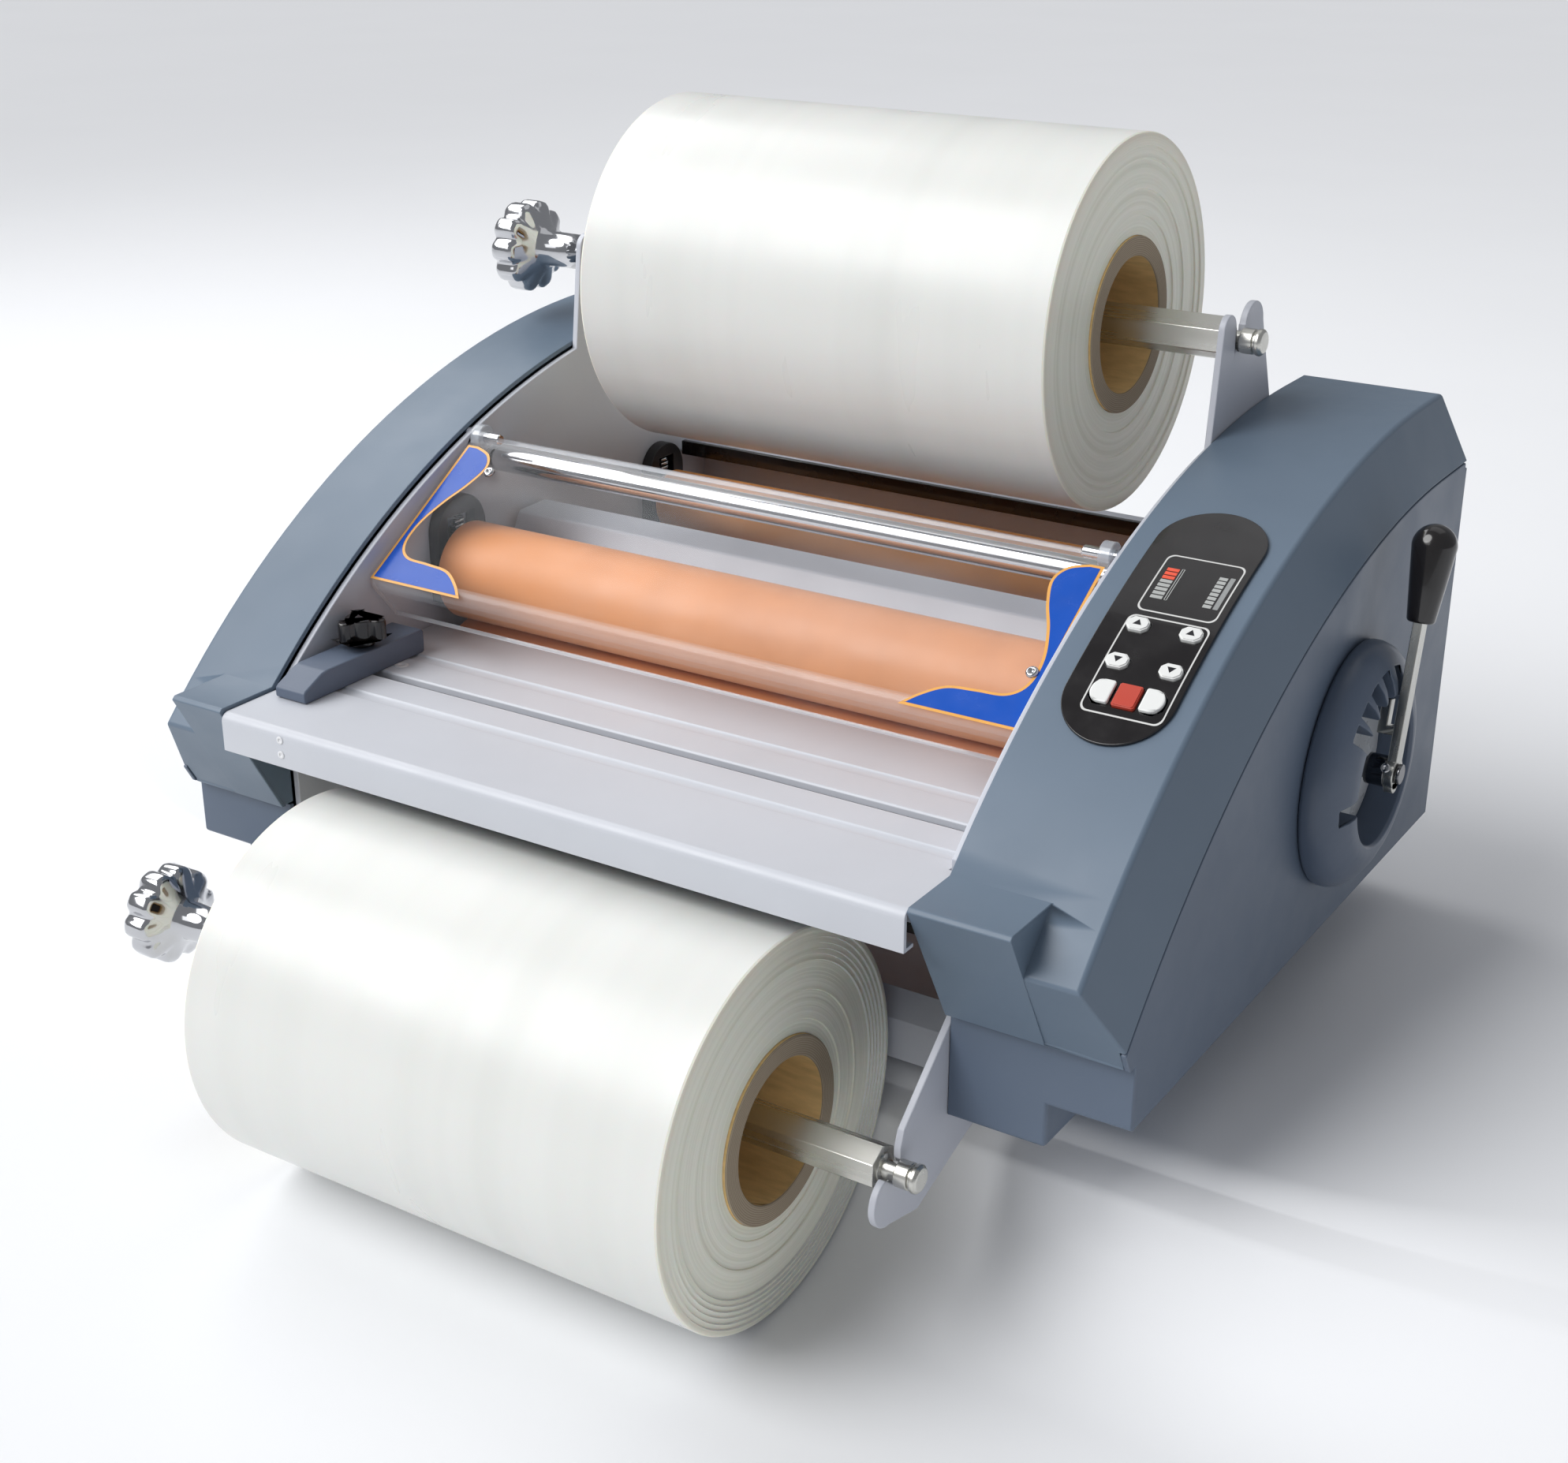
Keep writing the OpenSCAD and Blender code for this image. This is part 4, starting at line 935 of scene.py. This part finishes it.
def film_roll(level, centre, face):
    """Wound film with its stepped ends, on a board core."""
    right = [(FILM_X - d * MM, r * MM) for r, d in STEPS[level]]
    left = [(-x, r) for x, r in right[::-1]]
    film = lathe(level + "_film.wound", right + left, centre,
                 [face, film_end(level + "_film_end", centre)], level + "_roll", 160)
    ends_apart(film)
    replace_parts(film, level + "_film")
    ring = [(CORE_X, BORE_R + CORE_CHAMFER), (CORE_X, CORE_R - CORE_CHAMFER),
            (CORE_X - CORE_CHAMFER, CORE_R)]
    ring += [(-x, r) for x, r in ring[::-1]]
    ring += [(CORE_CHAMFER - CORE_X, BORE_R), (CORE_X - CORE_CHAMFER, BORE_R)]
    core = lathe(level + "_core.board", ring, centre,
                 [cardboard(level + "_board", centre), board_end(level + "_board_end", centre)],
                 level + "_roll", 128)
    ends_apart(core)
    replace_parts(core, level + "_core")


def tension_knob(level, centre):
    """Plated knob: broad lobes, narrow valleys, dished face and spring sleeve."""
    low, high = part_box(level + "_tension_knob")
    # (distance from that end, radius, share of the valleys' depth), in millimetres
    sleeve = [(0, 5.5, 0), (0, 12.4, 0), (-0.6, 13, 0), (-2.4, 13, 0), (-4, 11, 0)]
    rear = [(4, 11, 0), (2, 14, 0), (0, 16.5, 0), (-2.5, 21, 0.25), (-4, 25, 0.7),
            (-5, 27.2, 1), (-6.6, 28.6, 1), (-9, 29, 1)]
    front = [(7.5, 29, 1), (5, 28.4, 1), (3.4, 27, 1), (2.4, 25, 0.8), (1.6, 22, 0.3),
             (1.2, 20, 0), (2.2, 18.6, 0), (2.8, 12, 0), (2.2, 9, 0), (0.6, 8.4, 0),
             (0.2, 7, 0), (0, 0.01, 0)]
    profile = [(end + t * MM, r * MM, share)
               for end, part in ((high.x, sleeve), (low.x + 25 * MM, rear), (low.x, front))
               for t, r, share in part]
    steps = LOBES * 18
    points = []
    for i in range(steps):
        a = 2 * math.pi * i / steps
        valley = (0.5 + 0.5 * math.cos(LOBES * a)) ** 2.2
        for x, r, share in profile:
            reach = r - LOBE_DEPTH * share * valley
            points.append((x, centre[0] + reach * math.sin(a), centre[1] + reach * math.cos(a)))
    mesh = mesh_of(level + "_knob", points, turned_faces(steps, len(profile)))
    piece = new_piece(level + "_knob.plated", mesh, CHROME, level + "_knob")
    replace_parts(piece, level + "_tension_knob")


for level, centre in (("upper", UPPER_ROLL), ("lower", LOWER_ROLL)):
    film_roll(level, centre, FILM_FACE)
    tension_knob(level, centre)
    dressed(level + "_mandrel", HEX_BAR, level + "_roll", 0.0, 0.5 * MM)
    dressed(level + "_core_chucks", BLACK_SATIN, level + "_roll", 0.0, 0.4 * MM)

# ---- keys and guide ----

for key in ("temp_up", "temp_down", "speed_up", "speed_down", "run_stop"):
    colour = KEY_RED if key == "run_stop" else KEY_WHITE
    dressed(key + "_button", colour, key + "_key", 0.0, 0.6 * MM)
dressed("side_guide", GUIDE, "guide", 1.6 * MM, 0.8 * MM, 3 * MM)
dressed("guide_knob", BLACK, "clamp_knob", 0.0, 1.0 * MM)

# ---- clear shield: bent sheet, ears, labels and screws ----

SHEET_T = 3 * MM
SHIELD_X = 212 * MM
KNEE_R = 7 * MM
CURL_R = 13 * MM
CURL_TURN = 62
EAR_R, EAR_BORE_R, EAR_W = 7.5 * MM, 3.4 * MM, 7 * MM
TOP = Vector((SHIELD[0] - 7 * MM, SHIELD[1] - 3 * MM))
KNEE = Vector((-118 * MM, 207 * MM))
FOOT = Vector((-97 * MM, 181 * MM))
SLOPE = (TOP - KNEE).normalized()
ABOVE = Vector((-SLOPE.y, SLOPE.x))


def bend(centre, radius, start, end, steps=12):
    """Points on an arc from start to end degrees, measured from +Z towards -Y."""
    turns = [math.radians(start + (end - start) * i / steps) for i in range(steps + 1)]
    return [(centre[0] - radius * math.sin(a), centre[1] + radius * math.cos(a)) for a in turns]


def bearing_of(arm):
    """Degrees from +Z towards -Y of a (y, z) direction."""
    return math.degrees(math.atan2(-arm.x, arm.y))


def shield_path():
    """Middle line of the bent sheet, from its foot to the curl over its top."""
    lean = math.degrees(math.atan2(SLOPE.y, SLOPE.x))
    fall = (FOOT - KNEE).normalized()
    half = math.acos(max(-1, min(1, SLOPE.dot(fall)))) / 2
    reach = KNEE_R / math.tan(half)
    heart = KNEE + (SLOPE + fall).normalized() * KNEE_R / math.sin(half)
    first, last = KNEE + fall * reach, KNEE + SLOPE * reach
    curl = TOP - ABOVE * CURL_R
    path = [tuple(FOOT), tuple(FOOT + (KNEE - FOOT) * 0.4)]
    path += bend(heart, KNEE_R, bearing_of(first - heart), bearing_of(last - heart))
    path += [tuple(KNEE + (TOP - KNEE) * k) for k in (0.3, 0.6, 0.9)]
    return path + bend(curl, CURL_R, lean, lean - CURL_TURN)


def on_shield(u, v, w):
    """A point w above the sheet's outer face; u runs along X, v up the slope."""
    p = KNEE + SLOPE * v + ABOVE * (SHEET_T / 2 + w)
    return u, p.x, p.y


# The shield's cut edges and bends get denser sheets, which carry painted highlight and painted
# reflection.
sheet_along("shield.sheet", shield_path(), -SHIELD_X, SHIELD_X, SHEET_T,
            [ACRYLIC, ACRYLIC_EDGE_HIGHLIGHT, ACRYLIC_BEND_REFLECTION], "front_shield")
ear = [(SHIELD_X - EAR_W, EAR_BORE_R), (SHIELD_X - EAR_W, EAR_R - 0.5 * MM),
       (SHIELD_X - EAR_W + 0.5 * MM, EAR_R), (SHIELD_X - 0.5 * MM, EAR_R),
       (SHIELD_X, EAR_R - 0.5 * MM), (SHIELD_X, EAR_BORE_R)]
for side, sign in (("left", -1), ("right", 1)):
    lathe("shield.ear_" + side, [(sign * x, r) for x, r in ear], SHIELD, ACRYLIC_EDGE_HIGHLIGHT,
          "front_shield")
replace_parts(bpy.data.objects["shield.sheet"], "shield")

# The S-shaped inner edge of a label, (across, up the slope) in mm, from the top down
LABEL_EDGE = [(203, 110.5), (192, 106), (187, 96), (191, 81), (199, 64), (204.5, 46), (204, 30),
              (196, 21.5), (180, 20), (164, 18), (152, 10), (144, 1.2)]
LABEL_TOP = 110.5 * MM
LABEL_T = 0.12 * MM


def label(name, sign, grow, lift, material, low=1.2):
    """A label at one side of the shield; grow moves its inner edge outwards."""
    edge = curve_through([(x * MM, v * MM) for x, v in LABEL_EDGE])
    inner = []
    for i, p in enumerate(edge):
        before, after = Vector(edge[max(i - 1, 0)]), Vector(edge[min(i + 1, len(edge) - 1)])
        along = (after - before).normalized()
        inner.append(Vector(p) + Vector((-along.y, along.x)) * grow)
    rim = SHIELD_X - 1 * MM - grow
    top, foot = LABEL_TOP - grow, low * MM
    outline = [(sign * p.x, min(max(p.y, foot), top)) for p in inner]
    outline += [(sign * rim, foot), (sign * rim, top)]
    prism(name, outline, lambda u, v, w: on_shield(u, v, lift + w), LABEL_T, material,
          "front_shield")


for side, sign in (("left", -1), ("right", 1)):
    label("label_edge." + side, sign, 0.0, 0.02 * MM, ORANGE)
    label("label_face." + side, sign, 1.7 * MM, 0.16 * MM, BLUE, 2.9)
for number, (u, v) in enumerate(((-183, 93), (203.4, 37))):
    at = on_shield(u * MM, v * MM, 0.0)
    screw(f"shield_screw.{number}", at, (0, ABOVE.x, ABOVE.y), 3.4 * MM, 1.9 * MM, CHROME,
          "front_shield")

# ---- inner cheeks that close the hollow noses of the covers ----

COVER_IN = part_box("upper_cover_right")[0].x
NOSE = [(-234.6, 161.4), (-187.2, 161.4), (-187.2, 91), (-194.8, 91)]
for side, sign in (("left", -1), ("right", 1)):
    prism("nose_cheek." + side, [(y * MM, z * MM) for y, z in NOSE],
          lambda u, v, w, sign=sign: (sign * (COVER_IN + 0.2 * MM + w), u, v), 1.4 * MM, HOUSING,
          "frame", 0.4 * MM)

# ---- plate over the sheet path, and a dark strip of painted shade along the rear panel ----

PATH_X = FRAME_IN - 4.6 * MM
PLATE = [(4, 188), (16.6, 213), (18.4, 214.6), (43, 215), (45, 214), (49, 206)]
# The rear strip is painted shade: a dark band standing for the film roll's shadow along the rear
# panel.
SHADE_STRIP = [(195.6, 209), (195.6, 218.6)]
for name, path, thickness, look in (("path_plate", PLATE, 1.2 * MM, COAT),
                                    ("rear_shade_strip", SHADE_STRIP, 4 * MM, PAINTED_SHADE_DARK)):
    sheet_along(name, [(y * MM, z * MM) for y, z in path], -PATH_X, PATH_X, thickness,
                [look] * 3, "frame")

# ---- springs in the bearing arches ----

SPRING_X = FRAME_IN - 4.2 * MM
SPRING_R, SPRING_WIRE = 3.4 * MM, 1.1 * MM
PRESSURE_L, PULL_L = 19.4 * MM, 17.2 * MM
PULL_SEAT = 11.2 * MM
seat_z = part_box("pressure_springs")[0].z
seat_y = middle("pressure_springs")[0]
pull_y, pull_z = middle("upper_pull_shaft")
for number, sign in enumerate((-1, 1)):
    coil = helix(f"pressure_coil.{number}", (sign * SPRING_X, seat_y, seat_z), SPRING_R,
                 SPRING_WIRE, 5.5, PRESSURE_L, CHROME, "frame")
    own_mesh(coil)
    if sign < 0:
        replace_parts(coil, "pressure_springs")
    helix(f"pull_coil.{number}", (sign * SPRING_X, pull_y, pull_z + PULL_SEAT), SPRING_R,
          SPRING_WIRE, 5, PULL_L, CHROME, "frame")

# ---- control panel graphics ----

LINE = 0.8 * MM
INK_T = 0.08 * MM
BAR_T = 0.25 * MM
BARS, BAR_SHARE = 8, 0.72
# Lower and upper end of both gauges, in millimetres along Y
GAUGE_LOW, GAUGE_HIGH = -49.2, -27.4


def inset(value, low, high, by):
    """A value between low and high, squeezed to leave a margin at both ends."""
    return low + by + (value - low) * (high - low - 2 * by) / (high - low)


def nearer(value, centre, share):
    """A value moved towards the centre, keeping a share of its distance."""
    return centre + (value - centre) * share


def panel_frame(name, *corners):
    """A thin printed line round a field of the panel; corners x0, y0, x1, y1 in mm."""
    x0, y0, x1, y1 = (c * MM for c in corners)
    outer = round_rect(x0, y0, x1, y1, 4 * MM)
    inner = [(inset(u, x0, x1, LINE), inset(v, y0, y1, LINE)) for u, v in outer]
    frame_ring(name, outer, inner, above_panel, INK_T, INK_WHITE, "frame")


def gauge(name, x0, x1, lit):
    """A bar graph of short bars between x0 and x1 in mm, the upper ones lit."""
    pitch = (GAUGE_HIGH - GAUGE_LOW) / BARS
    for i in range(BARS):
        low = (GAUGE_LOW + i * pitch) * MM
        high = low + pitch * BAR_SHARE * MM
        outline = [(x0 * MM, low), (x1 * MM, low), (x1 * MM, high), (x0 * MM, high)]
        look = LAMP_RED if i >= BARS - lit else LAMP_OFF
        prism(f"{name}.{i}", outline, above_panel, BAR_T, look, "frame")


panel_frame("panel_line.gauges", 243.5, -57.8, 285.5, -18.6)
panel_frame("panel_line.keys", 242.8, -116.6, 286.0, -60.8)
gauge("heat_bar", 247.2, 253.6, 3)
gauge("speed_bar", 275.0, 279.4, 0)
heat_edge = round_rect(254.6 * MM, GAUGE_LOW * MM, 256.2 * MM, GAUGE_HIGH * MM, 0.5 * MM)
frame_ring("heat_scale", heat_edge,
           [(nearer(u, 255.4 * MM, 0.5), nearer(v, -38.3 * MM, 0.99)) for u, v in heat_edge],
           above_panel, INK_T, LAMP_OFF, "frame")
speed_edge = round_rect(280.4 * MM, GAUGE_LOW * MM, 283.0 * MM, GAUGE_HIGH * MM, 0.4 * MM)
prism("speed_scale", speed_edge, above_panel, INK_T, WINDOW, "frame")


def key_face(node, body):
    """A placing function for a key's top face, from its body's press joint."""
    joint = next(j for j in JOINTS.values() if j["child"] == body)
    normal = -Vector(joint["axis"])
    across = Vector((1, 0, 0))
    along = normal.cross(across)
    low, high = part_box(node)
    heart = (low + high) / 2
    top = max(p.co.dot(normal) for p in frame["nodes"][node].data.vertices)
    heart += normal * (top - heart.dot(normal))
    return lambda u, v, w: heart + across * u + along * v + normal * w


def arrow(node, body, up):
    """A printed triangle on a key's face."""
    tip = 2.0 * MM * (1 if up else -1)
    outline = [(-2.3 * MM, -tip * 0.8), (2.3 * MM, -tip * 0.8), (0, tip)]
    prism(node + ".arrow", outline, key_face(node, body), 0.06 * MM, INK_BLACK, body)


# Height of a rounded key's cap, which stays above the cover when it is pressed
KEY_CAP = 2.4 * MM
KEY_BULGE = 6.2 * MM


def round_key(node, body, sign):
    """A key with one side rounded off, in place of its CAD outline."""
    half, tall, corner = 5.6 * MM, 6.9 * MM, 0.8 * MM
    outline = [(-sign * half, -tall + corner), (-sign * (half - corner), -tall)]
    outline += [(sign * (half - KEY_BULGE + KEY_BULGE * math.cos(a)), tall * math.sin(a))
                for a in [math.radians(-90 + 10 * i) for i in range(19)]]
    outline += [(-sign * (half - corner), tall), (-sign * half, tall - corner)]
    place = key_face(node, body)
    piece = prism(node + ".rounded", outline, lambda u, v, w: place(u, v, w - KEY_CAP), KEY_CAP,
                  KEY_WHITE, body, 0.7 * MM)
    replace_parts(piece, node)


round_key("reverse_button", "reverse_key", -1)
round_key("standby_button", "standby_key", 1)
for quantity in ("temp", "speed"):
    for way in ("up", "down"):
        arrow(f"{quantity}_{way}_button", f"{quantity}_{way}_key", way == "up")

# ---- pressure dial ----

SCALE_FOOT = HOUSING_X + 4.25 * MM
SCALE_X = SCALE_FOOT + 0.7 * MM
HUB_R = 8.5 * MM
# Lean of the lever at each notch of the dial, in degrees from +Z towards -Y
NOTCHES = [-13.5, 5, 21, 36, 50.5, 98]


def on_dial(angle):
    """A placing function on the dial's scale: u across a line at the angle, v along it."""
    turn = math.radians(angle)
    out = Vector((-math.sin(turn), math.cos(turn)))
    side = Vector((math.cos(turn), math.sin(turn)))

    def place(u, v, w):
        p = Vector(LEVER) + out * v + side * u
        return SCALE_X + w, p.x, p.y
    return place


lathe("dial_scale", [(SCALE_FOOT, 9.6 * MM), (SCALE_FOOT, 40.4 * MM), (SCALE_X, 40.2 * MM),
                     (SCALE_X, 9.8 * MM)], LEVER, SCALE, "frame")
for number, angle in enumerate(NOTCHES):
    end = (30 + 1.5 * number) * MM
    tick = [(-0.5 * MM, end - 8 * MM), (0.5 * MM, end - 8 * MM), (0.8 * MM, end),
            (-0.8 * MM, end)]
    prism(f"dial_tick.{number}", tick, on_dial(angle), 0.06 * MM, INK_BLACK, "frame")
facing = Vector((0, -0.82, 0.57))
hub = Vector((DIAL_FACE + 1.5 * MM, *LEVER))
screw("hub_screw", hub + facing * (HUB_R - 0.3 * MM), facing, 2.6 * MM, 0.9 * MM, CHROME,
      "lever")

# ---- small things on the table and under it ----

# Real screw heads on the table's lip and top, drawn flat and white as a painted highlight.
for number, z in enumerate((157.2, 148.6)):
    screw(f"lip_screw_highlight.{number}", (-173.5 * MM, LIP_Y - 0.02 * MM, z * MM), (0, -1, 0), 2.3 * MM,
          0.5 * MM, SCREW_HIGHLIGHT, "frame", slot=False)
# (distance from the side frame, radius) in millimetres
THUMB = [(0, 0), (0, 3), (0.4, 3.4), (2.6, 3.4), (3, 4.8), (10.4, 5.2), (11, 4.6), (11, 0)]
lathe("thumb_screw", [(FRAME_IN - t * MM, max(r * MM, POINT_R)) for t, r in THUMB],
      (-182 * MM, 39 * MM), BLUE_SCREW, "frame", 40, closed=False)
# Painted shade: a dark sheet between the side frames, below the table's front, standing for the
# shaded space behind the lower film.
SHADE_SHEET_X = FRAME_IN - 1.2 * MM
SHADE_SHEET_Y = -136 * MM
shade_sheet = [(-SHADE_SHEET_X, 92 * MM), (SHADE_SHEET_X, 92 * MM), (SHADE_SHEET_X, 158 * MM), (-SHADE_SHEET_X, 158 * MM)]
prism("front_shade_sheet", shade_sheet, lambda u, v, w: (u, SHADE_SHEET_Y + w, v), 1.2 * MM, PAINTED_SHADE_DARK, "frame",
      0.3 * MM)
screw("table_screw_highlight", (-183.7 * MM, -126.2 * MM, TABLE_Z - 0.1 * MM), (0, 0, 1), 4.2 * MM,
      0.5 * MM, SCREW_HIGHLIGHT, "frame", slot=False)
